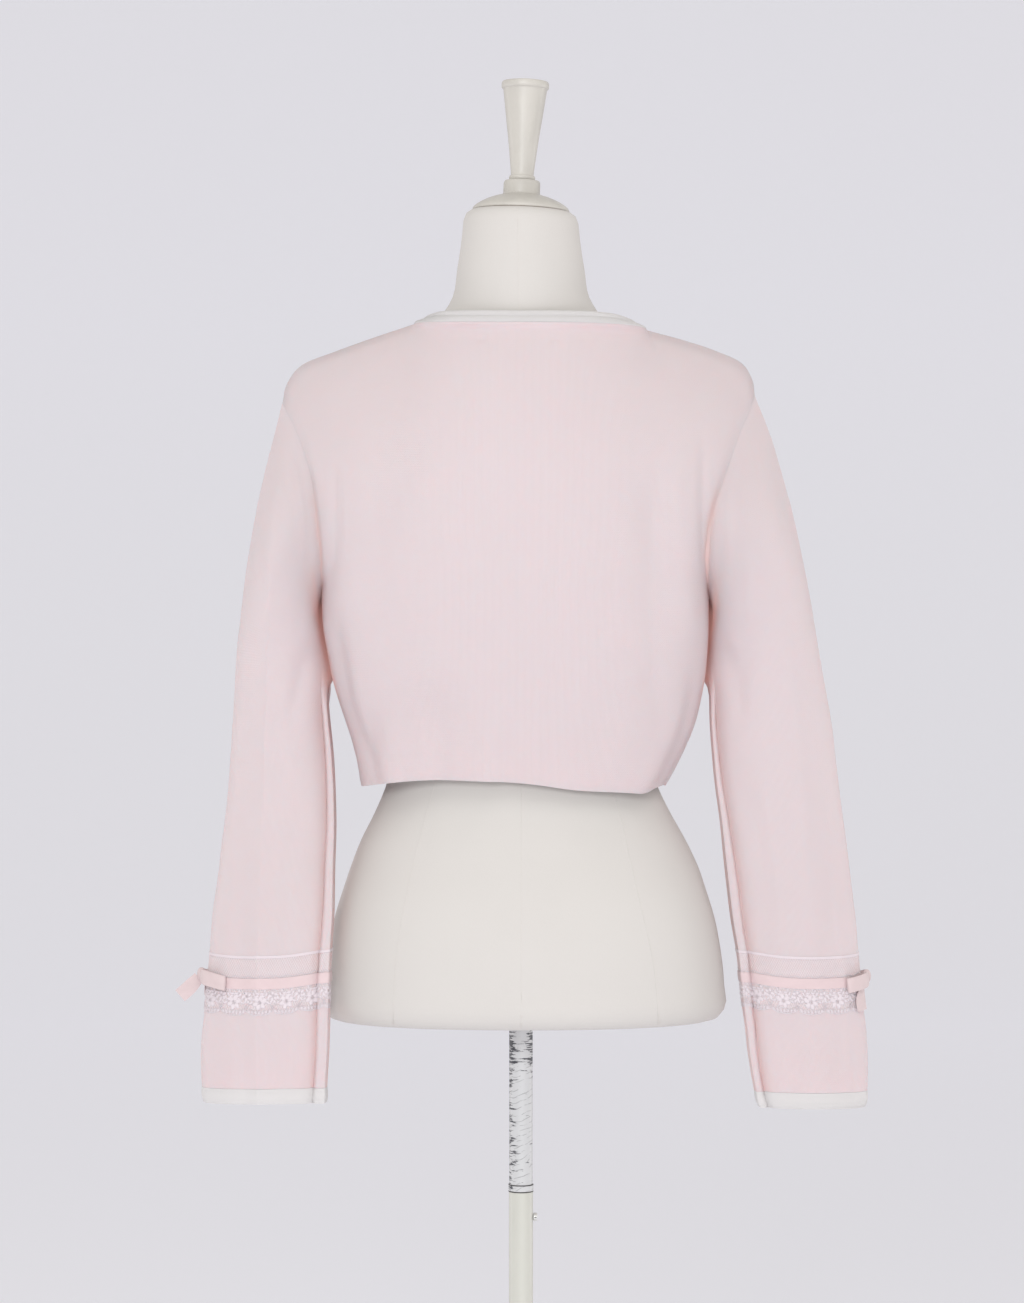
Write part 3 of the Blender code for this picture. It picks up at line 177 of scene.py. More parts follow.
def shellQuads(top, under, closed):
    # faces of the outer side, the inner side and the edges, as numbers from two grids
    parts = [np.stack([top[:-1, :-1], top[:-1, 1:], top[1:, 1:], top[1:, :-1]], -1).reshape(-1, 4),
             np.stack([under[1:, :-1], under[1:, 1:], under[:-1, 1:], under[:-1, :-1]], -1).reshape(-1, 4),
             np.stack([under[0, :-1], under[0, 1:], top[0, 1:], top[0, :-1]], -1),
             np.stack([top[-1, :-1], top[-1, 1:], under[-1, 1:], under[-1, :-1]], -1)]
    if not closed:
        parts += [np.stack([top[:-1, 0], top[1:, 0], under[1:, 0], under[:-1, 0]], -1),
                  np.stack([under[:-1, -1], under[1:, -1], top[1:, -1], top[:-1, -1]], -1)]
    return np.concatenate(parts)


def shell(name, outer, inner, finish, closed=False, uvGrid=None, paintedLight=None):
    # a thin closed shell between two grids; uvGrid holds the cloth's own flat coordinates in metres
    rows, cols = outer.shape[:2]
    top = np.arange(rows * cols).reshape(rows, cols)
    if closed:
        top = np.concatenate([top, top[:, :1]], axis=1)
    quads = shellQuads(top, top + rows * cols, closed)
    uv = None
    if uvGrid is not None:
        flat = np.arange(rows * top.shape[1]).reshape(rows, -1)
        uv = uvGrid.reshape(-1, 2)[shellQuads(flat, flat, closed)]
    points = np.concatenate([outer.reshape(-1, 3), inner.reshape(-1, 3)])
    # the inner side carries no painted warm light
    if paintedLight is not None:
        paintedLight = np.concatenate([paintedLight.ravel(), 0 * paintedLight.ravel()])
    return newMesh(name, points, quads, finish, uv, paintedLight=paintedLight)


def tubeArrays(paths, normals, radius, sides=4, closed=False):
    # many tubes at once: paths and normals are (tubes, points, 3); rings of points round each path
    if closed:
        tangent = unit(np.roll(paths, -1, axis=1) - np.roll(paths, 1, axis=1))
    else:
        tangent = unit(np.gradient(paths, axis=1))
    aside = unit(np.cross(tangent, normals))
    turn = (np.arange(sides) + 0.5) / sides * 2 * np.pi
    radius = np.broadcast_to(np.asarray(radius, float), paths.shape[:2])[..., None, None]
    rings = paths[:, :, None] + radius * (np.cos(turn)[:, None] * normals[:, :, None]
                                          + np.sin(turn)[:, None] * aside[:, :, None])
    tubes, points = paths.shape[:2]
    number = np.arange(tubes * points * sides).reshape(tubes, points, sides)
    ahead = np.roll(number, -1, axis=1)
    if not closed:
        number, ahead = number[:, :-1], ahead[:, :-1]
    quads = np.stack([number, np.roll(number, -1, axis=2), np.roll(ahead, -1, axis=2), ahead], -1)
    quads = quads.reshape(-1, 4)
    if not closed and sides == 4:
        ends = np.arange(tubes * points * sides).reshape(tubes, points, sides)
        quads = np.concatenate([quads, ends[:, 0, ::-1], ends[:, -1]])
    return rings.reshape(-1, 3), quads


def joined(parts):
    # several (points, quads) as one
    points, quads, base = [], [], 0
    for somePoints, someQuads in parts:
        points.append(somePoints)
        quads.append(someQuads + base)
        base += len(somePoints)
    return np.concatenate(points), np.concatenate(quads)


def ringQuads(number):
    # faces between closed rings, from a grid of point numbers
    low, high = number[:-1], number[1:]
    quads = np.stack([low, np.roll(low, -1, axis=1), np.roll(high, -1, axis=1), high], -1)
    return quads.reshape(-1, 4)


def dress(piece, node=None):
    # every piece is in the one body; node is the solid that it stands for
    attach(piece, "root")
    if node:
        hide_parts(node)


def turnedPiece(name, profile, sides, finish, place=(0, 0, 0), lean=0.0, aim=None):
    # a profile of (radius, height) carried once round its axis, closed at both ends
    profile = np.asarray(profile, float)
    turn = np.arange(sides) / sides * 2 * np.pi
    rings = np.stack([profile[:, :1] * np.cos(turn), profile[:, :1] * np.sin(turn),
                      profile[:, 1:] + 0 * turn], axis=-1)
    points = rings.reshape(-1, 3)
    number = np.arange(len(points)).reshape(len(profile), sides)
    quads = ringQuads(number)
    middle = len(points)
    points = np.concatenate([points, [[0, 0, profile[0, 1]], [0, 0, profile[-1, 1]]]])
    pairs = np.arange(0, sides, 2)
    foot = np.stack([number[0, pairs], np.full(len(pairs), middle), number[0, (pairs + 2) % sides],
                     number[0, (pairs + 1) % sides]], -1)
    head = np.stack([number[-1, pairs], number[-1, (pairs + 1) % sides], number[-1, (pairs + 2) % sides],
                     np.full(len(pairs), middle + 1)], -1)
    quads = np.concatenate([quads, foot, head])
    if aim is not None:
        turnTo = np.array(Vector(aim).to_track_quat("Z", "Y").to_matrix())
        points = points @ turnTo.T
    cosLean, sinLean = math.cos(lean), math.sin(lean)
    leaning = np.array([[cosLean, 0, sinLean], [0, 1, 0], [-sinLean, 0, cosLean]])
    return newMesh(name, points @ leaning.T + np.asarray(place), quads, finish, sharp=32)


# Finishes

class Nodes:
    # a short way to chain shader maths
    def __init__(self, name, colour, roughness, **values):
        self.material = bpy.data.materials.new(name)
        self.material.use_nodes = True
        self.tree = self.material.node_tree
        self.shader = self.tree.nodes["Principled BSDF"]
        self.set("Base Color", (*colour, 1.0))
        self.set("Roughness", roughness)
        for key, value in values.items():
            self.set(key.replace("_", " "), value)

    def set(self, name, value):
        self.shader.inputs[name].default_value = value

    def node(self, kind, **values):
        made = self.tree.nodes.new(kind)
        for key, value in values.items():
            setattr(made, key, value)
        return made

    def link(self, source, target):
        self.tree.links.new(source, target)

    def maths(self, operation, *values):
        made = self.node("ShaderNodeMath", operation=operation)
        for socket, value in zip(made.inputs, values):
            if isinstance(value, (int, float)):
                socket.default_value = value
            else:
                self.link(value, socket)
        return made.outputs[0]

    def clamped(self, operation, *values):
        return self.maths("MINIMUM", self.maths("MAXIMUM", self.maths(operation, *values), 0.0), 1.0)

    def clothPlace(self):
        parts = self.node("ShaderNodeSeparateXYZ")
        self.link(self.node("ShaderNodeUVMap", uv_map="cloth").outputs[0], parts.inputs[0])
        return parts.outputs[0], parts.outputs[1]

    def attribute(self, name):
        return self.node("ShaderNodeAttribute", attribute_name=name).outputs["Fac"]

    def objectPlace(self):
        return self.node("ShaderNodeTexCoord").outputs["Object"]

    def noise(self, scale, detail=3.0, stretch=(1, 1, 1), roughness=0.5):
        mapping = self.node("ShaderNodeMapping")
        mapping.inputs["Scale"].default_value = stretch
        self.link(self.objectPlace(), mapping.inputs[0])
        made = self.node("ShaderNodeTexNoise")
        made.inputs["Scale"].default_value = scale
        made.inputs["Detail"].default_value = detail
        made.inputs["Roughness"].default_value = roughness
        self.link(mapping.outputs[0], made.inputs["Vector"])
        return made.outputs["Fac"]

    def colours(self, amount, *stops):
        made = self.node("ShaderNodeValToRGB")
        ramp = made.color_ramp
        while len(ramp.elements) < len(stops):
            ramp.elements.new(0.5)
        for element, (position, colour) in zip(ramp.elements, stops):
            element.position = position
            element.color = (*colour, 1.0)
        self.link(amount, made.inputs[0])
        self.link(made.outputs[0], self.shader.inputs["Base Color"])
        return made.outputs[0]

    def mixed(self, base, colour, share):
        made = self.node("ShaderNodeMix", data_type="RGBA")
        self.link(share, made.inputs["Factor"])
        self.link(base, made.inputs[6])
        made.inputs[7].default_value = (*colour, 1.0)
        self.link(made.outputs[2], self.shader.inputs["Base Color"])

    def bump(self, height, distance, strength=1.0, base=None):
        made = self.node("ShaderNodeBump")
        made.inputs["Distance"].default_value = distance
        made.inputs["Strength"].default_value = strength
        self.link(height, made.inputs["Height"])
        if base is not None:
            self.link(base, made.inputs["Normal"])
        self.link(made.outputs[0], self.shader.inputs["Normal"])
        return made.outputs[0]


def shade(colour, factor):
    return tuple(min(part * factor, 1.0) for part in colour)


knit = {"pink": (0.748, 0.612, 0.628), "white": (0.745, 0.718, 0.716), "wale": 0.0019, "course": 0.00145,
        "lean": 0.9, "relief": 0.00040, "fuzz": 0.00025, "glow": (0.0070, 0.0020, 0.0016),
        # painted light: a warm colour painted on the cloth where light would pass between pink walls,
        # and a painted glow given off by the cloth there, though it is no lamp
        "warm": (0.72, 0.45, 0.41), "warmShare": 0.80, "given": (0.62, 0.34, 0.30), "givenShare": 0.26}


def knitFinish(name, colour, wale, course, glow=0.25):
    # stitches as rows of small V shapes: two legs across each wale, shifted up towards the middle
    made = Nodes(name, colour, 0.92, Sheen_Weight=0.12, Sheen_Roughness=0.5, Subsurface_Weight=glow,
                 Subsurface_Scale=1.0, Subsurface_Radius=knit["glow"])
    u, v = made.clothPlace()
    wales = made.maths("FRACT", made.maths("DIVIDE", u, wale))
    across = made.maths("ABSOLUTE", made.maths("SUBTRACT", wales, 0.5))
    leg = made.maths("SUBTRACT", 1.0, made.maths("POWER", made.maths(
        "ABSOLUTE", made.maths("MULTIPLY", made.maths("SUBTRACT", across, 0.25), 4.0)), 2.0))
    slant = made.maths("MULTIPLY", across, -2 * knit["lean"])
    rise = made.maths("ADD", made.maths("DIVIDE", v, course), slant)
    loop = made.maths("SINE", made.maths("MULTIPLY", made.maths("FRACT", rise), math.pi))
    height = made.maths("MULTIPLY", leg, made.maths("MULTIPLY_ADD", loop, 0.5, 0.5))
    fuzz = made.noise(1400.0, 2.0)
    cloud = made.noise(9.0, 3.0)
    # darker where the stitch is low: painted shade between the stitches, mixed with a slow random tone
    tone = made.maths("ADD", made.maths("MULTIPLY", height, 0.55), made.maths("MULTIPLY", cloud, 0.45))
    base = made.colours(tone, (0.0, shade(colour, 0.88)), (0.35, shade(colour, 0.98)),
                        (1.0, shade(colour, 1.03)))
    # painted light: the point attribute paints a warm tint into the colour and makes the cloth glow, for
    # light passed between pink walls
    paintedLight = made.attribute("paintedLight")
    made.mixed(base, knit["warm"], made.maths("MULTIPLY", paintedLight, knit["warmShare"]))
    made.set("Emission Color", (*knit["given"], 1.0))
    given = made.maths("MULTIPLY", made.maths("POWER", paintedLight, 2.0), knit["givenShare"])
    made.link(given, made.shader.inputs["Emission Strength"])
    made.material.cycles.emission_sampling = "NONE"  # a glow on its own cloth, not a lamp
    first = made.bump(height, knit["relief"], 0.8)
    made.bump(fuzz, knit["fuzz"], 0.35, first)
    return made.material


def threadFinish(name, colour, sheen=0.3):
    # soft matt thread, a little uneven
    made = Nodes(name, colour, 0.7, Sheen_Weight=sheen, Sheen_Roughness=0.4)
    twist = made.noise(900.0, 2.0, (1, 1, 3))
    made.colours(twist, (0.25, shade(colour, 0.93)), (0.75, shade(colour, 1.03)))
    made.bump(twist, 0.0002, 0.4)
    return made.material


def satinFinish(name, colour):
    # fine threads across the ribbon, soft sheen, a woven selvedge
    made = Nodes(name, colour, 0.48, Sheen_Weight=0.15, Anisotropic=0.3)
    u, v = made.clothPlace()
    weft = made.maths("SINE", made.maths("MULTIPLY", u, 2 * math.pi / 0.00055))
    warp = made.maths("SINE", made.maths("MULTIPLY", v, 2 * math.pi / 0.00042))
    weave = made.maths("ADD", weft, made.maths("MULTIPLY", warp, 0.4))
    cloud = made.noise(60.0, 3.0, (1, 1, 2))
    made.colours(cloud, (0.2, shade(colour, 0.95)), (0.8, shade(colour, 1.03)))
    made.bump(weave, 0.00008, 0.5, made.bump(cloud, 0.0006, 0.3))
    return made.material


def jerseyFinish(name, colour):
    # fine cream jersey stretched over the form
    made = Nodes(name, colour, 0.88, Sheen_Weight=0.1)
    weave = made.noise(1500.0, 2.0, (1, 1, 0.45))
    cloud = made.noise(7.0, 4.0)
    tone = made.maths("MULTIPLY_ADD", weave, 0.3, made.maths("MULTIPLY", cloud, 0.7))
    made.colours(tone, (0.2, shade(colour, 0.94)), (0.55, colour), (0.9, shade(colour, 1.03)))
    made.bump(weave, 0.00018, 0.4)
    return made.material


def paintFinish(name, colour, roughness=0.42):
    # brushed cream paint with faint stains and hairline marks
    made = Nodes(name, colour, roughness, Coat_Weight=0.08, Coat_Roughness=0.3)
    stain = made.noise(26.0, 6.0, (1, 1, 0.35), 0.6)
    made.colours(stain, (0.28, shade(colour, 0.86)), (0.5, colour), (0.8, shade(colour, 1.04)))
    made.bump(made.noise(240.0, 3.0, (1, 1, 0.2)), 0.00012, 0.3)
    return made.material


# the scuffs start left and right of the tube's middle, and are thicker above a height. A streak over the
# level is a mark; edgeMarks and highMarks lower the level there
scuffs = {"left": -0.0022, "right": 0.0040, "above": 0.672, "level": 0.650, "edgeMarks": (0.11, 0.10),
          "highMarks": 0.065, "ringPitch": 0.0050, "ringSlant": 0.35, "ringStrength": 0.42,
          "ink": (0.05, 0.05, 0.06)}


def scuffedFinish(name, colour):
    # white tube with black scuffs: short dashes down the left edge and curved scratches round it
    made = Nodes(name, colour, 0.4)
    place = made.node("ShaderNodeSeparateXYZ")
    made.link(made.objectPlace(), place.inputs[0])
    x, y, z = place.outputs
    streak = made.noise(52.0, 5.0, (1.3, 1.3, 11.0), 0.66)
    fine = made.noise(60.0, 4.0, (1.0, 1.0, 9.0), 0.6)
    left = made.clamped("MULTIPLY", made.maths("SUBTRACT", scuffs["left"], x), 170.0)
    right = made.clamped("MULTIPLY", made.maths("SUBTRACT", x, scuffs["right"]), 220.0)
    high = made.clamped("MULTIPLY", made.maths("SUBTRACT", z, scuffs["above"]), 32.0)
    leftMarks, rightMarks = scuffs["edgeMarks"]
    edge = made.maths("MAXIMUM", made.maths("MULTIPLY", left, leftMarks),
                      made.maths("MULTIPLY", made.maths("MULTIPLY", right, high), rightMarks))
    level = made.maths("SUBTRACT", scuffs["level"],
                       made.maths("MULTIPLY_ADD", high, scuffs["highMarks"], edge))
    dashes = made.maths("GREATER_THAN", streak, level)
    slant = made.maths("SUBTRACT", z, made.maths("MULTIPLY", x, scuffs["ringSlant"]))
    slant = made.maths("MULTIPLY_ADD", made.noise(45.0, 2.0), 0.012, slant)
    rings = made.maths("SINE", made.maths("MULTIPLY", slant, 2 * math.pi / scuffs["ringPitch"]))
    rings = made.maths("MULTIPLY", made.maths("GREATER_THAN", rings, 0.94),
                       made.maths("GREATER_THAN", fine, 0.50))
    mark = made.maths("MAXIMUM", dashes, made.maths("MULTIPLY", rings, scuffs["ringStrength"]))
    made.colours(mark, (0.0, colour), (0.5, shade(colour, 0.55)), (1.0, scuffs["ink"]))
    made.bump(mark, 0.0001, 0.3)
    return made.material


def metalFinish(name, colour, roughness):
    # bare metal with a fine grain
    made = Nodes(name, colour, roughness, Metallic=1.0)
    grain = made.noise(300.0, 4.0)
    made.colours(grain, (0.3, shade(colour, 0.85)), (0.7, colour))
    made.bump(grain, 0.00005, 0.3)
    return made.material


def pearlFinish(name, colour):
    # a glossy shell with slow swirls
    made = Nodes(name, colour, 0.22, Coat_Weight=0.4, Coat_Roughness=0.1)
    swirl = made.noise(160.0, 3.0, (1, 1, 2.5))
    made.colours(swirl, (0.25, shade(colour, 0.88)), (0.5, colour), (0.8, shade(colour, 1.06)))
    made.bump(swirl, 0.0001, 0.2)
    return made.material


pinkKnit = knitFinish("pinkKnit", knit["pink"], knit["wale"], knit["course"])
whiteKnit = knitFinish("offWhiteKnit", knit["white"], 0.0015, 0.0012, 0.0)
# the neck trim's knit is the off-white knit painted 5% lighter: a painted lift of light on the trim
litTrimKnit = knitFinish("litTrimKnit", shade(knit["white"], 1.05), 0.0015, 0.0012, 0.0)
laceThread = threadFinish("laceThread", (0.700, 0.628, 0.660))
headerThread = threadFinish("headerThread", (0.685, 0.600, 0.632))
netThread = threadFinish("netThread", (0.90, 0.80, 0.815))
pinkRibbon = satinFinish("pinkRibbon", (0.700, 0.552, 0.562))
bowRibbon = satinFinish("bowRibbon", (0.660, 0.535, 0.538))
pinkSewing = threadFinish("pinkSewing", (0.74, 0.52, 0.51))
formCloth = jerseyFinish("formCloth", (0.605, 0.577, 0.552))
formSeam = threadFinish("formSeam", (0.625, 0.590, 0.565), 0.0)
creamPaint = paintFinish("creamPaint", (0.548, 0.522, 0.480))
polePaint = paintFinish("polePaint", (0.565, 0.560, 0.508), 0.35)
whiteTube = scuffedFinish("whiteTube", (0.57, 0.57, 0.575))
steel = metalFinish("steel", (0.82, 0.82, 0.80), 0.5)
# flat dark finishes for painted shade: in the gap under the neck cap, at the collar's edges and in the
# screw's slot
paintedShadeBrown = Nodes("paintedShadeBrown", (0.16, 0.09, 0.06), 0.8).material
paintedShadeBlack = Nodes("paintedShadeBlack", (0.045, 0.04, 0.04), 0.8).material
pearl = pearlFinish("pearl", (0.84, 0.76, 0.76))
print("stage: finishes made")


# The garment's body: the same net of points as its solids

body = {
    "underarm": 1.098,
    "seamY": -0.015,
    "band": 0.009,
    "sideSteps": 9,
    "armSteps": 11,
    "shoulderShares": (0, 0.27, 0.52, 0.73, 0.88, 1),
    "neckSteps": {"back": 7, "front": 6},
    "neckSquare": {"back": 2.5, "front": 2.2},
    "neckRise": {"back": 0.5, "front": 0.66},
    "sections": table(
        "z left right back front squareBack squareFront",
        (0.935, 0.1370, 0.1240, -0.089, 0.104, 2.2, 2.1),
        (0.960, 0.1410, 0.1370, -0.091, 0.106, 2.2, 2.1),
        (0.990, 0.1500, 0.1495, -0.095, 0.112, 2.2, 2.1),
        (1.015, 0.1580, 0.1550, -0.100, 0.120, 2.3, 2.1),
        (1.045, 0.1640, 0.1585, -0.105, 0.128, 2.4, 2.1),
        (1.075, 0.1690, 0.1600, -0.109, 0.133, 2.5, 2.1),
        (1.098, 0.1705, 0.1600, -0.111, 0.134, 2.6, 2.1)),
    "hem": table("x rise", (-0.137, 0.0), (-0.105, 0.0050), (-0.025, 0.0062), (0.005, 0.0045),
                 (0.045, -0.0010), (0.085, -0.0035), (0.110, -0.0040), (0.124, 0.0)),
    "backMiddle": table("share y", (0.0, -0.1110), (0.25, -0.1135), (0.5, -0.1090), (0.75, -0.0960),
                        (1.0, -0.0700)),
    "frontMiddle": table("share y", (0.0, 0.1340), (0.25, 0.1310), (0.5, 0.1210), (0.75, 0.1060),
                         (1.0, 0.0900)),
    "neck": {"back": (0.0, -0.0700, 1.3270), "front": (0.0, 0.0900, 1.2450),
             "left": (-0.0920, 0.0, 1.3315), "right": (0.1080, 0.0, 1.3262)},
    "shoulders": {
        "left": ((-0.1310, 0.001, 1.3185), (-0.1570, 0.001, 1.3090), (-0.1830, 0.001, 1.2995),
                 (-0.1940, 0.000, 1.2920), (-0.2010, 0.000, 1.2810), (-0.2050, -0.001, 1.2640)),
        "right": ((0.1270, 0.001, 1.3215), (0.1650, 0.001, 1.3095), (0.1840, 0.001, 1.3020),
                  (0.1930, 0.000, 1.2950), (0.1985, 0.000, 1.2850), (0.2010, -0.001, 1.2700))},
    "armholes": {
        ("left", "back"): ((-0.1700, -0.015, 1.0980), (-0.1690, -0.045, 1.1060), (-0.1690, -0.064, 1.1300),
                           (-0.1725, -0.070, 1.1650), (-0.1760, -0.065, 1.1930), (-0.1825, -0.053, 1.2150),
                           (-0.1920, -0.034, 1.2390), (-0.2010, -0.013, 1.2560), (-0.2050, -0.001, 1.2640)),
        ("right", "back"): ((0.1600, -0.015, 1.0980), (0.1585, -0.045, 1.1060), (0.1580, -0.064, 1.1300),
                            (0.1610, -0.071, 1.1650), (0.1690, -0.066, 1.1900), (0.1780, -0.053, 1.2150),
                            (0.1890, -0.033, 1.2430), (0.1975, -0.013, 1.2600), (0.2010, -0.001, 1.2700)),
        ("left", "front"): ((-0.1700, -0.015, 1.0980), (-0.1680, 0.020, 1.1060), (-0.1620, 0.045, 1.1300),
                            (-0.1600, 0.055, 1.1650), (-0.1660, 0.052, 1.2000), (-0.1850, 0.034, 1.2380),
                            (-0.2000, 0.012, 1.2560), (-0.2050, -0.001, 1.2640)),
        ("right", "front"): ((0.1600, -0.015, 1.0980), (0.1580, 0.020, 1.1060), (0.1530, 0.045, 1.1300),
                             (0.1520, 0.055, 1.1650), (0.1600, 0.052, 1.2000), (0.1810, 0.034, 1.2410),
                             (0.1965, 0.012, 1.2620), (0.2010, -0.001, 1.2700))},
}
signOf = {"left": -1, "right": 1}


def bodyHalfRow(z, side, face, startX, steps):
    # one level below the armholes: a superellipse quarter from the middle to the side seam
    rows = body["sections"]
    half, depth, square = (through(rows["z"], rows[key], z) for key in (side, face, "square" + face.title()))
    turn = np.linspace(0, np.pi / 2, 240)
    across = half * power(np.sin(turn), 2 / square)
    y = body["seamY"] + (depth - body["seamY"]) * power(np.cos(turn), 2 / square)
    line = np.stack([signOf[side] * across, y, np.full_like(turn, z)], axis=1)[across >= startX]
    line[0, 0] = signOf[side] * startX
    return along(line, even(steps))


def neckline(side, face, startX):
    # a superellipse quarter from the middle to the shoulder, rising towards it
    middle, end = body["neck"][face], body["neck"][side]
    turn = np.linspace(0, np.pi / 2, 240)
    across = power(np.sin(turn), 2 / body["neckSquare"][face])
    y = end[1] + (middle[1] - end[1]) * power(np.cos(turn), 2 / body["neckSquare"][face])
    z = end[2] + (middle[2] - end[2]) * (1 - across ** 2) ** body["neckRise"][face]
    line = np.stack([end[0] * across, y, z], axis=1)
    line = line[np.abs(line[:, 0]) >= startX]
    line[0, 0] = signOf[side] * startX
    return along(line, even(body["neckSteps"][face]))


def shoulder(side):
    # the shoulder seam, from the neck to the top of the sleeve
    return along(smoothLine((body["neck"][side],) + body["shoulders"][side]), body["shoulderShares"])


def armhole(side, face):
    # the armhole seam, from the side seam up to the shoulder
    return along(smoothLine(body["armholes"][side, face]), even(body["armSteps"]))


def upperHalf(side, face, bottom, startX):
    # a net stretched between the row below, the armhole, the neck and shoulder, and the middle line
    edge = armhole(side, face)
    top = np.concatenate([neckline(side, face, startX), shoulder(side)[1:]])
    share = even(body["armSteps"])
    height = (np.sin(share * np.pi / 2) + share) / 2
    middleTable = body[face + "Middle"]
    y = through(middleTable["share"], middleTable["y"], height)
    y += (bottom[0, 1] - y[0]) * (1 - share) + (top[0, 1] - y[-1]) * share
    z = bottom[0, 2] + (top[0, 2] - bottom[0, 2]) * height
    middle = np.stack([np.full_like(share, bottom[0, 0]), y, z], axis=1)
    across = even(len(bottom) - 1)[None, :, None]
    lift = height[:, None, None]
    level = (1 - across) * middle[:, None] + across * edge[:, None]
    net = level + (1 - lift) * (bottom - level[0]) + lift * (top - level[-1])
    bowed = edge[:, None] + (middle - edge)[:, None] * (1 - across ** 2.2)
    turn = 1 - np.sqrt(1 - lift ** 2)
    net[..., 1] = (bowed + (1 - turn) * (bottom - bowed[0]) + turn * (top - bowed[-1]))[..., 1]
    for _ in range(4):
        around = (net[:-2, 1:-1] + net[2:, 1:-1] + net[1:-1, :-2] + net[1:-1, 2:]) / 4
        net[1:-1, 1:-1] += (around - net[1:-1, 1:-1]) / 2
    return net[1:]


def panelHalf(side, face, startX=0.0):
    # half a panel: level rows up to the underarm, then the stretched net
    rows = body["sections"]
    steps = body["neckSteps"][face] + len(body["shoulderShares"]) - 1
    levels = rows["z"][0] + (body["underarm"] - rows["z"][0]) * even(body["sideSteps"])
    lower = np.array([bodyHalfRow(z, side, face, startX, steps) for z in levels])
    if face == "back":
        rise = through(body["hem"]["x"], body["hem"]["rise"], lower[..., 0])
        lower[..., 2] += rise * (1 - even(body["sideSteps"])[:, None]) ** 2
    half = through(rows["z"], rows[side], levels)
    lower[:, -1] = np.stack([signOf[side] * half, np.full_like(levels, body["seamY"]), levels], axis=1)
    lower[-1, -1] = body["armholes"][side, "back"][0]
    return np.concatenate([lower, upperHalf(side, face, lower[-1], startX)])


backNet = np.concatenate([panelHalf("left", "back")[:, :0:-1], panelHalf("right", "back")], axis=1)
frontNets = {"right": panelHalf("right", "front", body["band"])[:, ::-1],
             "left": panelHalf("left", "front", body["band"])}
bandNet = np.stack([frontNets["right"][:, -1], (frontNets["right"][:, -1] + frontNets["left"][:, 0]) / 2,
                    frontNets["left"][:, 0]], axis=1)


# Folds, as soft troughs and ridges along bent lines. bend is how far the line bows, blunt how flat its top is

folds = {
    "back": table(
        "x1 z1 x2 z2 bend width lift",
        (0.1540, 1.228, 0.1575, 1.110, 0.003, 0.0060, -0.0032),
        (0.1360, 1.215, 0.1440, 1.060, 0.006, 0.0130, 0.0024),
        (0.1120, 1.200, 0.1140, 0.985, 0.004, 0.0130, -0.0024),
        (0.0900, 1.130, 0.0880, 0.960, -0.004, 0.0180, 0.0012),
        (-0.1560, 1.210, -0.1610, 1.110, -0.003, 0.0060, -0.0024),
        (-0.1400, 1.215, -0.1460, 1.080, -0.005, 0.0140, 0.0018),
        (-0.1560, 1.072, -0.1240, 0.950, 0.007, 0.0080, -0.0036),
        (-0.1440, 1.050, -0.1120, 0.940, 0.005, 0.0100, 0.0018),
        (0.1490, 1.035, 0.1190, 0.938, -0.006, 0.0080, -0.0036),
        (0.1380, 1.020, 0.1080, 0.938, -0.004, 0.0110, 0.0018),
        (-0.1235, 1.000, -0.1215, 0.931, 0.002, 0.0100, -0.0022),
        (-0.1110, 1.010, -0.1080, 0.931, 0.002, 0.0100, 0.0018),
        (-0.0720, 1.020, -0.0700, 0.931, -0.002, 0.0120, -0.0022),
        (-0.0300, 1.010, -0.0300, 0.931, 0.001, 0.0130, 0.0016),
        (-0.0150, 0.990, -0.0145, 0.931, 0.001, 0.0070, -0.0012),
        (0.0100, 1.000, 0.0100, 0.931, 0.001, 0.0100, 0.0012),
        (0.0620, 0.985, 0.0660, 0.931, -0.002, 0.0150, -0.0010),
        (-0.0950, 1.300, -0.1500, 1.255, 0.004, 0.0120, -0.0005),
        (0.1000, 1.300, 0.1600, 1.262, -0.004, 0.0120, -0.0005),
        (-0.0375, 1.3122, -0.0315, 1.3128, 0.000, 0.0022, -0.0011),
        (0.0247, 1.3114, 0.0307, 1.3120, 0.000, 0.0022, -0.0011)),
    "front": table(
        "x1 z1 x2 z2 bend width lift",
        (0.150, 1.180, 0.110, 1.060, -0.010, 0.012, -0.0032),
        (-0.156, 1.175, -0.112, 1.062, 0.010, 0.012, -0.0030),
        (0.134, 1.120, 0.090, 1.020, -0.006, 0.014, 0.0022),
        (-0.136, 1.115, -0.086, 1.022, 0.006, 0.014, 0.0020),
        (0.120, 1.030, 0.105, 0.935, -0.003, 0.011, -0.0026),
        (-0.124, 1.035, -0.112, 0.935, 0.003, 0.011, -0.0028),
        (0.070, 1.020, 0.068, 0.935, 0.002, 0.014, -0.0026),
        (-0.062, 1.025, -0.064, 0.935, -0.002, 0.014, -0.0024),
        (0.038, 1.000, 0.036, 0.935, 0.001, 0.010, 0.0018),
        (-0.034, 0.998, -0.033, 0.935, -0.001, 0.010, 0.0016),
        (0.092, 0.990, 0.094, 0.935, 0.001, 0.010, 0.0022),
        (-0.090, 0.992, -0.091, 0.935, 0.001, 0.010, 0.0020),
        (0.155, 1.250, 0.098, 1.210, 0.004, 0.012, -0.0014),
        (-0.158, 1.246, -0.100, 1.212, -0.004, 0.012, -0.0016)),
}


# a fold starts a little before its line and fades past its end, each as (where, over how much of it); one
# that ends below reachesHem runs on to the hem instead
foldFade = {"start": (0.12, 0.34), "end": (0.80, 0.30), "reachesHem": 0.95, "hemStart": 0.5}


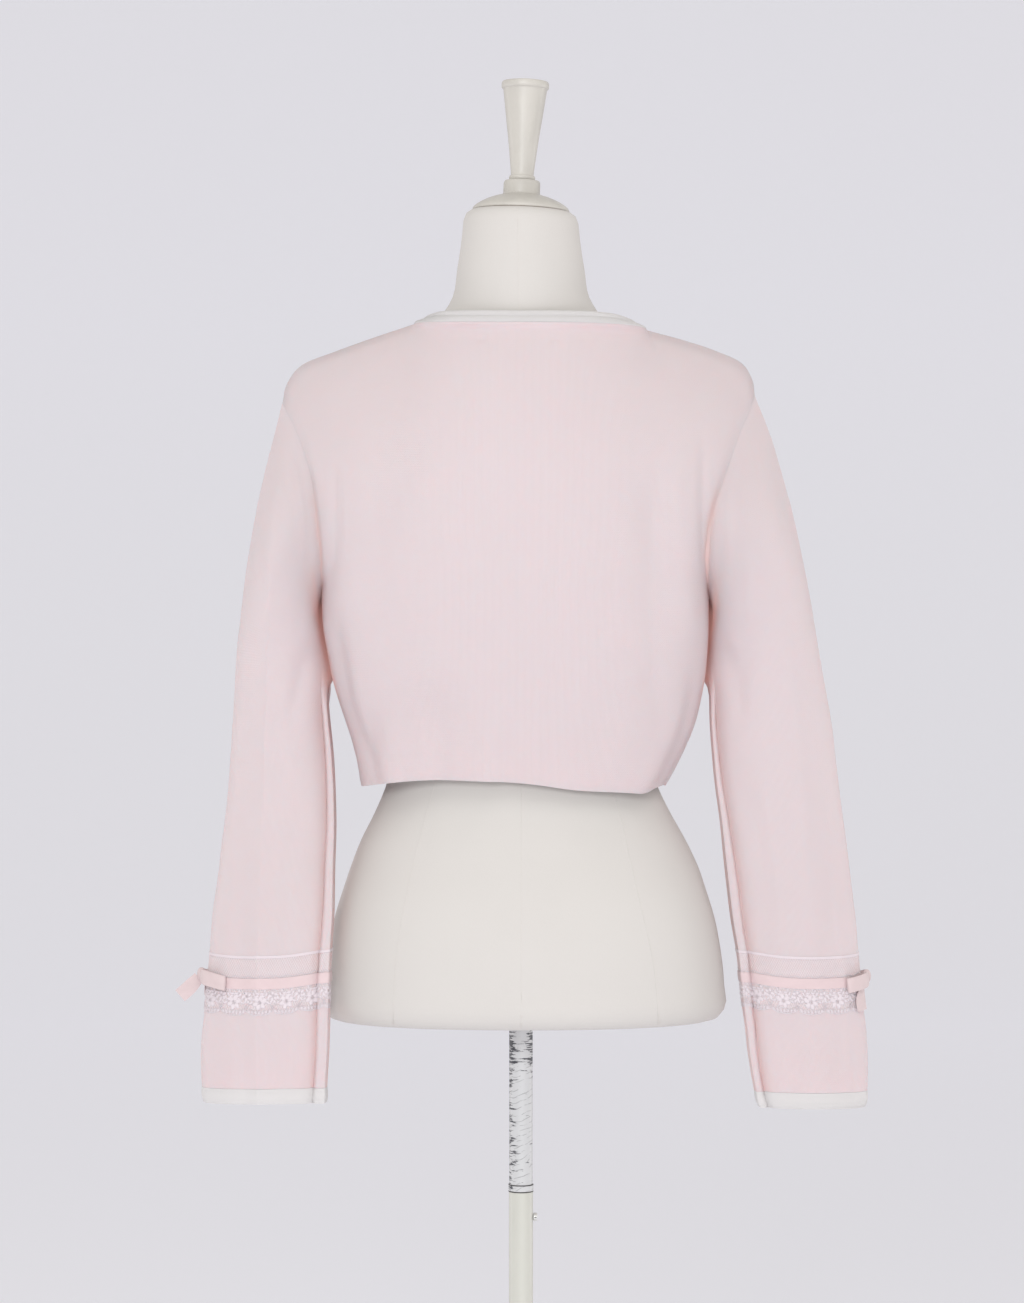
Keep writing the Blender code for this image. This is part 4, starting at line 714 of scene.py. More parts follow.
def foldLift(rows, x, z, blunt=1.8):
    # each fold lifts the cloth by a bell across its line, faded at both ends
    (before, starting), (past, ending) = foldFade["start"], foldFade["end"]
    lift = np.zeros_like(x)
    for x1, z1, x2, z2, bend, width, height in zip(*rows.values()):
        run = np.array([x2 - x1, z2 - z1])
        length = np.linalg.norm(run)
        run /= length
        down = ((x - x1) * run[0] + (z - z1) * run[1]) / length
        off = (x - x1) * run[1] - (z - z1) * run[0] - bend * 4 * down * (1 - down)
        fade = smoothStep((down + before) / starting) * (1 - smoothStep((down - past) / ending))
        if z2 < foldFade["reachesHem"]:
            fade = smoothStep((down + before) / foldFade["hemStart"])
        lift += height * fade * np.exp(-np.abs(off / width) ** blunt)
    return lift


def wander(x, z, size, amount):
    # a slow unevenness from a few crossed waves
    return amount * (np.sin(x / size * 2.1 + np.sin(z / size * 1.3) * 1.4)
                     * np.sin(z / size * 1.7 + 0.6 + np.sin(x / size) * 1.1))


# times and sleeveRows are how much finer the cloth is than the solids' net
cloth = {"thick": 0.0014, "times": {"back": 8, "front": 6}, "sleeveRows": 6, "gap": 0.00012, "reach": 16,
         "seamRows": 5.0, "seamCols": 4.0, "hemRows": 4, "hemThin": 0.35, "uneven": 0.0004}
# the stretch of height where a sleeve touches the body's side, and how far each swells towards the other
contact = {"top": 1.092, "topFade": 0.03, "bottom": 1.0, "bottomFade": 0.04, "bodyOut": 0.0009,
           "sleeveIn": 0.0022, "reach": 0.012}
# above the underarm the sleeve goes on a little way in front of the body's side
tuck = {"top": 1.0965, "topFade": 0.008, "bottom": 1.014, "bottomFade": 0.014, "y": 0.018, "spread": 0.018,
        "reach": 0.014, "in": 0.0048}


# the painted warm light on the cloth: how strong and how wide it is, and the heights between which it
# shows, each as (where, over how much)
paintedWarmth = {"side": (0.7, 0.0018), "sideFrom": (0.995, 0.03), "upTo": (1.215, 0.06),
          "besideFrom": (1.008, 0.02), "besideTo": (1.140, 0.03), "seam": (0.6, 0.0035),
          "valley": (0.5, 0.0012, 0.0050), "rim": (0.55, 0.0014), "rimTo": (1.025, 0.02)}


def above(z, key):
    # 0 below a height and 1 above it
    where, over = paintedWarmth[key]
    return smoothStep((z - where) / over)


def below(z, key):
    # 1 below a height and 0 above it
    where, over = paintedWarmth[key]
    return smoothStep((where - z) / over)


def underarm(z):
    # 1 where sleeve and body touch, 0 above and below
    return (smoothStep((contact["top"] - z) / contact["topFade"])
            * smoothStep((z - contact["bottom"]) / contact["bottomFade"]))


def edgeFade(grid):
    # 0 at the seams and 1 inside, so that folds leave the seams where they are; the hem row stays free
    rows, cols = grid.shape[:2]
    up = smoothStep((rows - 1 - np.arange(rows))[:, None] / cloth["seamRows"])
    side = np.minimum(np.arange(cols), cols - 1 - np.arange(cols))[None]
    return up * smoothStep(side / cloth["seamCols"])


def panelGrid(net, times, topBreaks, leftBreaks, rightBreaks):
    # the fine panel, with its borders pulled onto curves that its neighbours share
    grid = finer(net, times, times)
    rows, cols = grid.shape[:2]
    up, over = np.linspace(0, len(net) - 1, rows), np.linspace(0, net.shape[1] - 1, cols)
    near = 1 - smoothStep(np.arange(max(rows, cols)) / cloth["reach"])
    top = kinked(net[-1], over, topBreaks) - grid[-1]
    left = kinked(net[:, 0], up, leftBreaks) - grid[:, 0]
    right = kinked(net[:, -1], up, rightBreaks) - grid[:, -1]
    grid += top[None] * near[:rows][::-1, None, None]
    grid += left[:, None] * near[:cols][None, :, None]
    grid += right[:, None] * near[:cols][None, ::-1, None]
    # below the underarm the sides swell a little towards the sleeves
    levels = body["sections"]
    half = through(levels["z"], np.maximum(levels["left"], levels["right"]), grid[..., 2])
    inside = half - np.abs(grid[..., 0])
    swell = underarm(grid[..., 2])
    grid[..., 0] += (np.sign(grid[..., 0]) * contact["bodyOut"] * swell
                     * np.exp(-(inside / contact["reach"]) ** 2))
    return grid


def evenedOut(grid, rounds=500):
    # above the underarm the cloth's depth is averaged along its rows,
    # which clears ridges under the neckline's ends
    depth = grid[..., 1]
    share = edgeFade(grid) * smoothStep((grid[..., 2] - 1.11) / 0.05)
    for _ in range(rounds):
        depth[:, 1:-1] += (depth[:, :-2] + depth[:, 2:] - 2 * depth[:, 1:-1]) / 4 * share[:, 1:-1]


def sidePaintedLight(grid):
    # painted warm light: 1 at a panel's edge beside the sleeve,
    # fading inwards and above and below the touching stretch
    x, z = grid[..., 0], grid[..., 2]
    leftEdge = np.maximum(-x, 0).max(axis=1, keepdims=True)
    rightEdge = np.maximum(x, 0).max(axis=1, keepdims=True)
    edge = np.where(x < 0, leftEdge, rightEdge)
    touching = above(z, "sideFrom") * below(z, "upTo")
    strong, wide = paintedWarmth["side"]
    return strong * np.exp(-((edge - np.abs(x)) / wide) ** 2) * touching * (np.abs(x) > 0.1)


def bodyShell(name, grid, rows, outward, node):
    if node == "back":
        evenedOut(grid)
    normals = normalsOf(grid)
    normals = normals * (1 if (normals[20, normals.shape[1] // 2] @ np.array(outward)) > 0 else -1)
    x, z = grid[..., 0], grid[..., 2]
    lift = foldLift(rows, x, z) + wander(x, z, 0.05, cloth["uneven"])
    outer = grid + normals * (lift * edgeFade(grid))[..., None]
    again = normalsOf(outer)
    normals = again * (1 if (again[20, 20] @ normals[20, 20]) > 0 else -1)
    # pull the edges in a hair so that neighbours don't touch
    outer[:, 0] += unit(outer[:, 1] - outer[:, 0]) * cloth["gap"]
    outer[:, -1] += unit(outer[:, -2] - outer[:, -1]) * cloth["gap"]
    outer[-1] += unit(outer[-2] - outer[-1]) * cloth["gap"]
    inner = outer - normals * cloth["thick"]
    hem = cloth["hemRows"]
    rolled = smoothStep(np.arange(hem) / (hem - 1.0))[:, None, None]
    outer[:hem] -= normals[:hem] * (1 - rolled) * cloth["thick"] * cloth["hemThin"]
    inner[:hem] += normals[:hem] * (1 - rolled) * cloth["thick"] * cloth["hemThin"]
    widths = lengthsAcross(grid)
    middle = widths.shape[1] // 2
    u = widths - widths[:, middle:middle + 1]
    v = grid[..., 2] + 0 * u
    # the panel's edges beside the sleeves get painted warm light
    piece = shell(name, outer, inner, pinkKnit, uvGrid=np.stack([u, v], -1), paintedLight=sidePaintedLight(grid))
    dress(piece, node)


steps = len(body["shoulderShares"]) - 1
lastCol = backNet.shape[1] - 1
backGrid = panelGrid(backNet, cloth["times"]["back"], (steps, lastCol - steps), (body["sideSteps"],),
                     (body["sideSteps"],))
bodyShell("backPanel", backGrid, folds["back"], (0, -1, 0), "back")
for side, net in frontNets.items():
    last = net.shape[1] - 1
    neckAt = steps if side == "right" else last - steps
    seams = ((body["sideSteps"],), ()) if side == "right" else ((), (body["sideSteps"],))
    grid = panelGrid(net, cloth["times"]["front"], (neckAt,), *seams)
    bodyShell("front" + side.title(), grid, folds["front"], (0, 1, 0), "front_" + side)
print("stage: body panels")


# Sleeves

sleeve = {
    "square": 2.3,
    "round": 22,
    "tops": (0, 0.5, 0.8, 1),
    "spread": {"left": (0.45, 0.66, 0.44, 0.22), "right": (0.45, 0.66, 0.52, 0.34)},
    "bulge": 0.30,
    "ease": 0.2,
    # how far the painted warm light beside the body spreads in from the inner edge
    "paintedLight": {"left": 0.0050, "right": 0.0028},
    "capSteps": 7,
    "sections": {
        "left": table(
            "z outer inner y depth",
            (1.0300, 0.2460, 0.1665, 0.006, 0.092), (0.9774, 0.2486, 0.1625, 0.003, 0.082),
            (0.9314, 0.2518, 0.1588, -0.006, 0.073), (0.9009, 0.2541, 0.1580, -0.015, 0.066),
            (0.8600, 0.2582, 0.1582, -0.030, 0.056), (0.8232, 0.2620, 0.1586, -0.044, 0.048),
            (0.7965, 0.2632, 0.1598, -0.052, 0.043), (0.7460, 0.2672, 0.1606, -0.060, 0.037),
            (0.7150, 0.2701, 0.1614, -0.062, 0.036), (0.6838, 0.2690, 0.1631, -0.062, 0.037),
            (0.6710, 0.2672, 0.1635, -0.062, 0.038)),
        "right": table(
            "z outer inner y depth",
            (1.0300, 0.2604, 0.1620, 0.006, 0.086), (0.9773, 0.2690, 0.1625, 0.004, 0.074),
            (0.9309, 0.2740, 0.1673, 0.001, 0.066), (0.8999, 0.2776, 0.1711, -0.002, 0.060),
            (0.8600, 0.2825, 0.1755, -0.004, 0.055), (0.8200, 0.2872, 0.1797, -0.006, 0.051),
            (0.7920, 0.2890, 0.1842, -0.008, 0.049), (0.7410, 0.2943, 0.1893, -0.009, 0.048),
            (0.7150, 0.2965, 0.1926, -0.009, 0.048), (0.6746, 0.2965, 0.1995, -0.009, 0.052),
            (0.6610, 0.2950, 0.2030, -0.009, 0.055))},
    "rows": {"left": (1.03, 0.99, 0.95, 0.91, 0.87, 0.83, 0.7985, 0.7715, 0.7440, 0.7150, 0.6838),
             "right": (1.03, 0.99, 0.95, 0.91, 0.87, 0.825, 0.7945, 0.7675, 0.7400, 0.7100, 0.6746)},
    "cuff": {"left": (0.6838, 0.6710), "right": (0.6746, 0.6610)},
    # columns lie closer together beside the inner edge, where the strip is
    "columns": np.concatenate([np.arange(65) / 26, 2.5 + np.arange(136) / 8, 19.5 + np.arange(30) / 12]),
    # the lengthwise valley beside the inner edge: how wide the strip beyond it is, and how deep it is
    "strip": {
        "left": table("z wide deep",
                      (1.040, 0.0050, 0.0010), (1.008, 0.0056, 0.0024), (0.931, 0.0072, 0.0032),
                      (0.820, 0.0098, 0.0036), (0.757, 0.0112, 0.0034), (0.671, 0.0112, 0.0034)),
        "right": table("z wide deep",
                       (1.040, 0.0042, 0.0012), (0.990, 0.0050, 0.0026), (0.930, 0.0064, 0.0032),
                       (0.840, 0.0098, 0.0036), (0.760, 0.0090, 0.0036), (0.661, 0.0074, 0.0034))},
    "crease": {
        "left": table("x1 z1 x2 z2 bend width lift",
                      (-0.2070, 1.205, -0.2205, 0.830, 0.002, 0.0090, 0.0024)),
        "right": table("x1 z1 x2 z2 bend width lift",
                       (0.2320, 1.120, 0.2680, 0.840, -0.002, 0.0090, 0.0010))},
    "folds": {
        "left": table("x1 z1 x2 z2 bend width lift",
                      (-0.1965, 1.228, -0.1780, 1.120, -0.004, 0.0060, -0.0030),
                      (-0.2260, 1.150, -0.2360, 0.900, 0.002, 0.0100, -0.0014),
                      (-0.1900, 1.130, -0.1840, 1.000, 0.004, 0.0100, -0.0016),
                      (-0.1980, 1.020, -0.2060, 0.860, -0.003, 0.0120, 0.0010),
                      (-0.1750, 1.060, -0.1960, 0.975, 0.004, 0.0070, -0.0018),
                      (-0.1800, 0.930, -0.2000, 0.870, 0.002, 0.0080, -0.0010),
                      (-0.2400, 0.760, -0.2380, 0.680, 0.001, 0.0120, 0.0010),
                      (-0.1950, 0.740, -0.1960, 0.680, 0.001, 0.0120, -0.0010)),
        "right": table("x1 z1 x2 z2 bend width lift",
                       (0.1780, 1.215, 0.1700, 1.110, 0.003, 0.0060, -0.0022),
                       (0.1900, 1.150, 0.1860, 1.010, -0.004, 0.0100, -0.0018),
                       (0.2180, 1.180, 0.2400, 0.900, -0.002, 0.0120, 0.0016),
                       (0.2400, 1.100, 0.2640, 0.860, -0.002, 0.0100, -0.0012),
                       (0.1700, 1.060, 0.1880, 0.985, -0.004, 0.0070, -0.0018),
                       (0.1800, 0.950, 0.2050, 0.880, -0.003, 0.0080, -0.0012),
                       (0.2080, 1.000, 0.2180, 0.850, 0.003, 0.0120, 0.0010),
                       (0.2650, 0.770, 0.2680, 0.680, 0.001, 0.0120, 0.0010),
                       (0.2250, 0.740, 0.2290, 0.680, 0.001, 0.0120, -0.0010))},
}


def sleeveSizes(side, z):
    # a sleeve's outer and inner edge, the middle of its depth, and its depth, at a height
    rows = sleeve["sections"][side]
    return [through(rows["z"], rows[key], z) for key in ("outer", "inner", "y", "depth")]


def sleeveRing(side, z):
    # a superellipse ring from the side facing the body round by the back
    count = sleeve["round"]
    outer, inner, y, depth = sleeveSizes(side, z)
    turn = np.linspace(0, 2 * np.pi, 480)
    across = (outer + inner) / 2 - (outer - inner) / 2 * power(np.cos(turn), 2 / sleeve["square"])
    back = y - depth / 2 * power(np.sin(turn), 2 / sleeve["square"])
    line = np.stack([signOf[side] * across, back, np.full_like(turn, z)], axis=1)
    return along(line, np.arange(count) / count)


def capRows(side):
    # from each armhole point a smooth curve runs down to the sleeve's first level
    start = np.concatenate([armhole(side, "back"), armhole(side, "front")[-2:0:-1]])
    level = sleeve["rows"][side][0]
    end, lower = sleeveRing(side, level), sleeveRing(side, level - 0.02)
    turn = np.arange(len(start)) / len(start) * 2 * np.pi
    top = (1 - np.cos(turn)) / 2
    away = signOf[side] * through(sleeve["tops"], sleeve["spread"][side], top)
    leave = np.stack([away, -sleeve["bulge"] * np.sin(turn), top * sleeve["ease"] - 1], axis=1)
    length = np.linalg.norm(end - start, axis=1, keepdims=True)
    pull, land = unit(leave) * length, unit(lower - end) * length
    t = even(sleeve["capSteps"])[:-1, None, None]
    return (start * (1 + 2 * t) * (1 - t) ** 2 + pull * t * (1 - t) ** 2
            + end * t * t * (3 - 2 * t) - land * t * t * (1 - t))


def sleeveNet(side):
    # the cap's rows, then a ring at each level down to the cuff's edge
    levels = sleeve["rows"][side] + sleeve["cuff"][side][1:]
    return np.concatenate([capRows(side), np.array([sleeveRing(side, z) for z in levels])])


def sleeveSurface(side):
    # the fine sleeve from armhole to cuff edge, with its folds and the strip beside its inner edge
    net = sleeveNet(side)
    over = sleeve["columns"]
    rows = between(net, np.linspace(0, len(net) - 1, (len(net) - 1) * cloth["sleeveRows"] + 1))
    grid = between(rows.transpose(1, 0, 2), over, True).transpose(1, 0, 2)
    ring = kinked(np.concatenate([net[0], net[0][:1]]), over, (body["armSteps"],))
    near = 1 - smoothStep(np.arange(len(grid)) / cloth["reach"])
    grid += (ring - grid[0])[None] * near[:, None, None]
    normals = signOf[side] * -1 * normalsOf(grid, True)
    x, z = grid[..., 0], grid[..., 2]
    isBack = smoothStep((np.sin(over / sleeve["round"] * 2 * np.pi) + 0.25) / 0.5)[None]
    fade = smoothStep(np.arange(len(grid))[:, None] / cloth["seamRows"]) + 0 * x
    lift = (foldLift(sleeve["folds"][side], x, z) + foldLift(sleeve["crease"][side], x, z, 1.2)) * isBack
    lift += foldLift(sleeve["folds"][side], x + 0.012 * signOf[side], z + 0.03) * (1 - isBack) * 0.9
    lift += wander(grid[..., 1] + x, z, 0.045, cloth["uneven"])
    grid = grid + normals * (lift * fade)[..., None]
    # the ring's own half width, depth and middle tell where the strip's valley lies
    outer, inner, middle, depth = sleeveSizes(side, z)
    strip = sleeve["strip"][side]
    wide, deep = through(strip["z"], strip["wide"], z), through(strip["z"], strip["deep"], z)
    shown = smoothStep((1.040 - z) / 0.045) * ((over > 0) & (over < 6))[None]
    cosine = (1 - np.clip(wide / ((outer - inner) / 2), 0, 1)) ** (sleeve["square"] / 2)
    valleyY = middle - depth / 2 * (1 - cosine ** 2) ** (1 / sleeve["square"])
    edge = np.abs(grid[..., 0]).min(axis=1, keepdims=True)
    e = np.abs(grid[..., 0]) - edge
    share = np.clip(e / wide, 0, 1)
    target = valleyY + 0.0004 - 0.0011 * np.sin(np.pi * share) ** 0.7
    onStrip = smoothStep(share / 0.16) * (e < wide) * shown
    grid[..., 1] += (target - grid[..., 1]) * onStrip
    slope = np.where(e < wide, 0.0011, 0.0034)
    grid[..., 1] += deep * np.exp(-np.abs((e - wide) / slope) ** 1.3) * shown
    # under the arm the sleeve leans on the body
    lean = signOf[side] * contact["sleeveIn"] * underarm(z)
    grid[..., 0] -= lean * np.exp(-(e / contact["reach"]) ** 2)
    # and it goes on a little way in front of the body's side, so that no light shows between them
    touch = (smoothStep((tuck["top"] - z) / tuck["topFade"])
             * smoothStep((z - tuck["bottom"]) / tuck["bottomFade"]))
    touch *= (np.exp(-((grid[..., 1] - tuck["y"]) / tuck["spread"]) ** 2)
              * np.exp(-(e / tuck["reach"]) ** 2))
    grid[..., 0] -= signOf[side] * tuck["in"] * touch
    # the painted warm light: beside the body, along the armhole seam, in the strip's valley and on its rim
    down = lengthsAcross(grid.transpose(1, 0, 2)).T
    beside = np.exp(-(e / sleeve["paintedLight"][side]) ** 1.2)
    beside = beside * above(z, "besideFrom") * below(z, "besideTo")
    strong, spread = paintedWarmth["seam"]
    seam = strong * np.exp(-down / spread) * below(z, "upTo")
    strong, onStripSide, onSleeveSide = paintedWarmth["valley"]
    fromValley = np.where(e < wide, ((e - wide) / onStripSide) ** 2, np.abs(e - wide) / onSleeveSide)
    valley = strong * shown * np.exp(-fromValley)
    strong, spread = paintedWarmth["rim"]
    rim = strong * np.exp(-(e / spread) ** 2) * below(z, "rimTo")
    paintedLight = np.clip(np.maximum(np.maximum(beside, seam), np.maximum(valley, rim)), 0, 1)
    return grid, signOf[side] * -1 * normalsOf(grid, True), paintedLight


# each sleeve's grid and normals, and its painted warm light
sleeves, paintedLights = {}, {}
for side in signOf:
    *sleeves[side], paintedLights[side] = sleeveSurface(side)
capRowCount = (sleeve["capSteps"] + len(sleeve["rows"][side]) - 1) * cloth["sleeveRows"]


def sleeveShell(side):
    # the sleeve's cloth down to where the cuff trim starts
    grid, normals = sleeves[side]
    outer = grid[:capRowCount + 1].copy()
    normal = normals[:capRowCount + 1]
    outer[0] += unit(outer[1] - outer[0]) * cloth["gap"]
    inner = outer - normal * cloth["thick"]
    widths = np.concatenate([outer, outer[:, :1]], axis=1)
    u = lengthsAcross(widths)
    u = u - u[:, u.shape[1] // 2:u.shape[1] // 2 + 1]
    down = lengthsAcross(outer[:, ::20].transpose(1, 0, 2)).mean(axis=0)
    v = -down[:, None] + 0 * u
    piece = shell("sleeve" + side.title(), outer, inner, pinkKnit, True, np.stack([u, v], -1),
                  paintedLights[side][:capRowCount + 1])
    dress(piece, "sleeve_" + side)


cuff = {"rows": 12, "raised": 0.0007, "over": 0.0001, "edgeThin": 0.0005}


def cuffShell(side):
    # the off-white cuff trim: a rolled tube of knit with a groove where it is linked on
    grid, normals = sleeves[side]
    rows = grid[capRowCount:]
    at = np.linspace(0, len(rows) - 1, cuff["rows"] + 1)
    rows, normal = between(rows, at), between(normals[capRowCount:], at)
    share = even(cuff["rows"])[:, None, None]
    raised = cuff["raised"] * np.sin(np.pi * np.clip(share * 1.15 - 0.08, 0, 1)) ** 0.5 + cuff["over"]
    outer = rows + normal * raised
    outer[0] += unit(outer[1] - outer[0]) * cloth["gap"]
    inner = rows - normal * (cloth["thick"] - cuff["edgeThin"] * (share > 0.9))
    widths = np.concatenate([outer, outer[:, :1]], axis=1)
    u = lengthsAcross(widths)
    v = rows[:, :1, 2] + 0 * u
    piece = shell("cuff" + side.title(), outer, inner, whiteKnit, True, np.stack([u, v], -1))
    dress(piece, "cuff_" + side)


for side in signOf:
    sleeveShell(side)
for side in signOf:
    cuffShell(side)
print("stage: sleeves and cuffs")


# Neck trim: two rows of knit, a wide roll at the seam and a narrow one at the free edge

trim = {"rows": 28, "cols": 9, "edgeThin": 0.0005,
        "width": 0.0115, "lean": 0.35, "sideLean": 2.5, "sidePower": 12, "frontFade": 0.012, "lift": 0.45,
        "profile": table("share raised", (0.0, 0.0001), (0.08, 0.0008), (0.24, 0.0012), (0.42, 0.0009),
                         (0.53, 0.0001), (0.60, -0.0002), (0.68, 0.0006), (0.82, 0.0010), (0.94, 0.0006),
                         (1.0, 0.0001))}


def neckLoop():
    # the panels' top edges, joined once round the neck
    steps = len(body["shoulderShares"]) - 1
    right, left, back = frontNets["right"][-1], frontNets["left"][-1], backNet[-1]
    middle = bandNet[-1][1:2]
    return np.concatenate([middle, right[:steps - 1:-1], back[steps + 1:-steps - 1][::-1],
                           left[-steps - 1::-1], middle])


def neckRise(loop):
    # the trim goes on from the panels, leaning towards the neck
    ahead = {}
    for net in (backNet, frontNets["right"], bandNet, frontNets["left"]):
        for key, step in zip(np.round(net[-1], 6), unit(net[-1] - net[-2])):
            ahead[tuple(key)] = ahead.get(tuple(key), 0) + step
    onward = unit(np.array([ahead[tuple(key)] for key in np.round(loop, 6)]))
    inward = unit(loop * (-1, -1, 0))
    sideShare = np.abs(inward[:, :1]) ** trim["sidePower"]
    sideShare *= np.exp(-((np.maximum(loop[:, 1:2], 0) / trim["frontFade"]) ** 2))
    leaning = onward + (trim["lean"] + trim["sideLean"] * sideShare) * inward + np.array((0, 0, trim["lift"]))
    run = unit(np.gradient(loop, axis=0))
    return unit(leaning - run * np.einsum("ij,ij->i", leaning, run)[:, None])


def buildTrim():
    # rows of points up from the loop, raised by the profile
    loop = neckLoop()
    rise = neckRise(loop)
    at = np.linspace(0, len(loop) - 1, (len(loop) - 1) * trim["cols"] + 1)
    first = 1 + body["neckSteps"]["front"]
    loop, rise = kinked(loop, at, (1, first, len(loop) - 1 - first, len(loop) - 2)), unit(between(rise, at))
    shares = even(trim["rows"])
    grid = loop[None] + rise[None] * (trim["width"] * shares)[:, None, None]
    normals = normalsOf(grid)
    normals *= 1 if (normals[3, len(at) // 2] @ np.array((0, -1, 0.3))) > 0 else -1
    raised = through(trim["profile"]["share"], trim["profile"]["raised"], shares)[:, None, None]
    outer = grid + normals * raised
    outer[0] += rise * cloth["gap"]
    inner = grid - normals * (cloth["thick"] - trim["edgeThin"] * (shares > 0.95)[:, None, None])
    u = lengthsAcross(grid)
    v = trim["width"] * shares[:, None] + 0 * u
    piece = shell("neckTrim", outer, inner, litTrimKnit, False, np.stack([u, v], -1))
    dress(piece, "neck_trim")


buildTrim()


# Bands and buttons of the front opening

band = {"under": 0.0022, "hidden": 0.08, "lap": 0.0030, "ridge": 0.0006}
buttons = {"count": 6, "margin": 0.012, "lift": 0.0004, "spread": 0.00125,
           "profile": ((0.0044, 0.0), (0.0052, 0.0003), (0.0055, 0.0009), (0.0055, 0.0014), (0.0052, 0.0021),
                       (0.0046, 0.0024), (0.0040, 0.0023), (0.0033, 0.0018), (0.0005, 0.0017))}


def bandGrid(points, under):
    # a fine grid of a band, sunk by a depth
    grid = finer(points, 6, 9)
    normals = normalsOf(grid)
    normals *= 1 if normals[30, 5, 1] > 0 else -1
    return grid - normals * under, normals


def buildBands():
    # the buttonhole band on top, and the button band that it laps
    grid, normals = bandGrid(bandNet, 0.0)
    share = np.linspace(0, 1, grid.shape[1])[None, :, None]
    ridge = band["ridge"] * (np.exp(-((share - 0.1) / 0.07) ** 2) + np.exp(-((share - 0.9) / 0.07) ** 2))
    outer = grid + normals * ridge
    inner = grid - normals * cloth["thick"]
    u = lengthsAcross(grid)
    v = grid[..., 2]
    top = shell("buttonholeBand", outer, inner, pinkKnit, False, np.stack([v, u], -1))
    dress(top, "band_right")
    left = frontNets["left"]
    lap = band["lap"] / np.linalg.norm(left[0, 1] - left[0, 0])
    points = np.stack([bandNet[:, 0] + (bandNet[:, 1] - bandNet[:, 0]) * band["hidden"], bandNet[:, 1],
                       bandNet[:, 2], left[:, 0] + (left[:, 1] - left[:, 0]) * lap], axis=1)
    grid, normals = bandGrid(points, band["under"])
    u = lengthsAcross(grid)
    under = shell("buttonBand", grid, grid - normals * cloth["thick"], pinkKnit, False,
                  np.stack([grid[..., 2], u], -1))
    dress(under, "band_left")


buildBands()


def buildButtons():
    # discs spaced evenly down the band's middle
    grid, normals = bandGrid(bandNet, 0.0)
    line, facing = grid[:, grid.shape[1] // 2], normals[:, grid.shape[1] // 2]
    low, high = bandNet[0, 1, 2] + buttons["margin"], bandNet[-1, 1, 2] - buttons["margin"]
    for number, z in enumerate(np.linspace(high, low, buttons["count"])):
        place = np.array([np.interp(z, line[:, 2], line[:, axis]) for axis in range(3)])
        aim = unit(np.array([np.interp(z, line[:, 2], facing[:, axis]) for axis in range(3)]))
        name = "button%d" % (number + 1)
        disc = turnedPiece(name, buttons["profile"], 40, pearl, place + aim * buttons["lift"], aim=aim)
        dress(disc, "button_%d" % (number + 1))
        # thread through four holes, as two short stitches over the middle
        aside = unit(np.cross(aim, (0, 0, 1)))
        upward = np.cross(aside, aim)
        turn = np.linspace(0, np.pi, 9)
        paths = np.array([place + aim * (buttons["lift"] + 0.0018) + upward * (row * buttons["spread"])
                          + aside * (np.cos(turn) * buttons["spread"])[:, None]
                          + aim * (np.sin(turn) * 0.0006)[:, None] for row in (-1, 1)])
        points, quads = tubeArrays(paths, np.broadcast_to(upward, paths.shape), 0.00028)
        dress(newMesh(name + "Thread", points, quads, pinkSewing))


buildButtons()
print("stage: trim, bands and buttons")


# Lace, ribbon and bows lie on the sleeves

lace = {
    "top": {"left": 0.7969, "right": 0.7928},
    "header": 0.0024,
    "upperEdge": {"left": 0.7806, "right": 0.7767},
    "floralTop": {"left": 0.7686, "right": 0.7646},
    "bottom": {"left": 0.7522, "right": 0.7482},
    "scallop": 0.0045,
    "scallops": 11,
    "sprayFoot": 0.0010, "sprayHigh": 0.0135, "sprayWide": 0.0078,
    "petalOff": 0.0002, "petalRise": 0.0003, "leafRise": 0.0002,
    "flowers": table("petals start long wide ring up place",
                     (6, 0.3, 0.0054, 0.0042, 0.0011, 0.0, 0.5),
                     (5, 0.6, 0.0036, 0.0030, 0.0008, 0.0052, 0.0)),
    "sprayLeaves": table("share tilt", (0.22, 0.4), (0.45, 0.8), (0.68, 1.1), (0.9, 1.6)),
    "sprayLeaf": (0.0040, 0.0022),
    "edgeLeaf": (0.0034, 0.0024), "edgeLeafPitch": 0.0027,
    "netPitch": 0.0021,
    "netRadius": 0.00014,
    "droop": table("turn rise", (0.0, 0.0), (0.14, -0.0022), (0.30, -0.0016), (0.44, 0.0022), (0.5, 0.0028),
                   (0.62, 0.0012), (0.8, -0.0008), (1.0, 0.0)),
}
ribbon = {"top": {"left": 0.7780, "right": 0.7742}, "width": 0.0088, "thick": 0.0004, "off": 0.0003}


def sleevePlace(side, turn, z, off):
    # places on a sleeve: turn 0 is the outer edge and goes by the back to the inner edge at 0.5
    grid, normals = sleeves[side]
    count = grid.shape[1]
    turn, z, off = np.broadcast_arrays(np.asarray(turn, float), z, off)
    z = z + through(lace["droop"]["turn"], lace["droop"]["rise"], turn % 1.0)
    ring = sleeve["round"]
    col = np.interp((0.5 - turn) % 1.0 * ring, np.append(sleeve["columns"], float(ring)),
                    np.arange(count + 1.0))
    first = (sleeve["capSteps"] + 5) * cloth["sleeveRows"]
    heights = grid[first:, :, 2].mean(axis=1)
    row = first + np.interp(-z, -heights, np.arange(len(heights)))
    low = np.clip(np.floor(row).astype(int), 0, len(grid) - 2)
    left = np.minimum(np.floor(col).astype(int), count - 1)
    right = (left + 1) % count
    a, b = (row - low)[..., None], (col - left)[..., None]

    def mix(values):
        return ((values[low, left] * (1 - b) + values[low, right] * b) * (1 - a)
                + (values[low + 1, left] * (1 - b) + values[low + 1, right] * b) * a)

    normal = unit(mix(normals))
    return mix(grid) + normal * off[..., None], normal


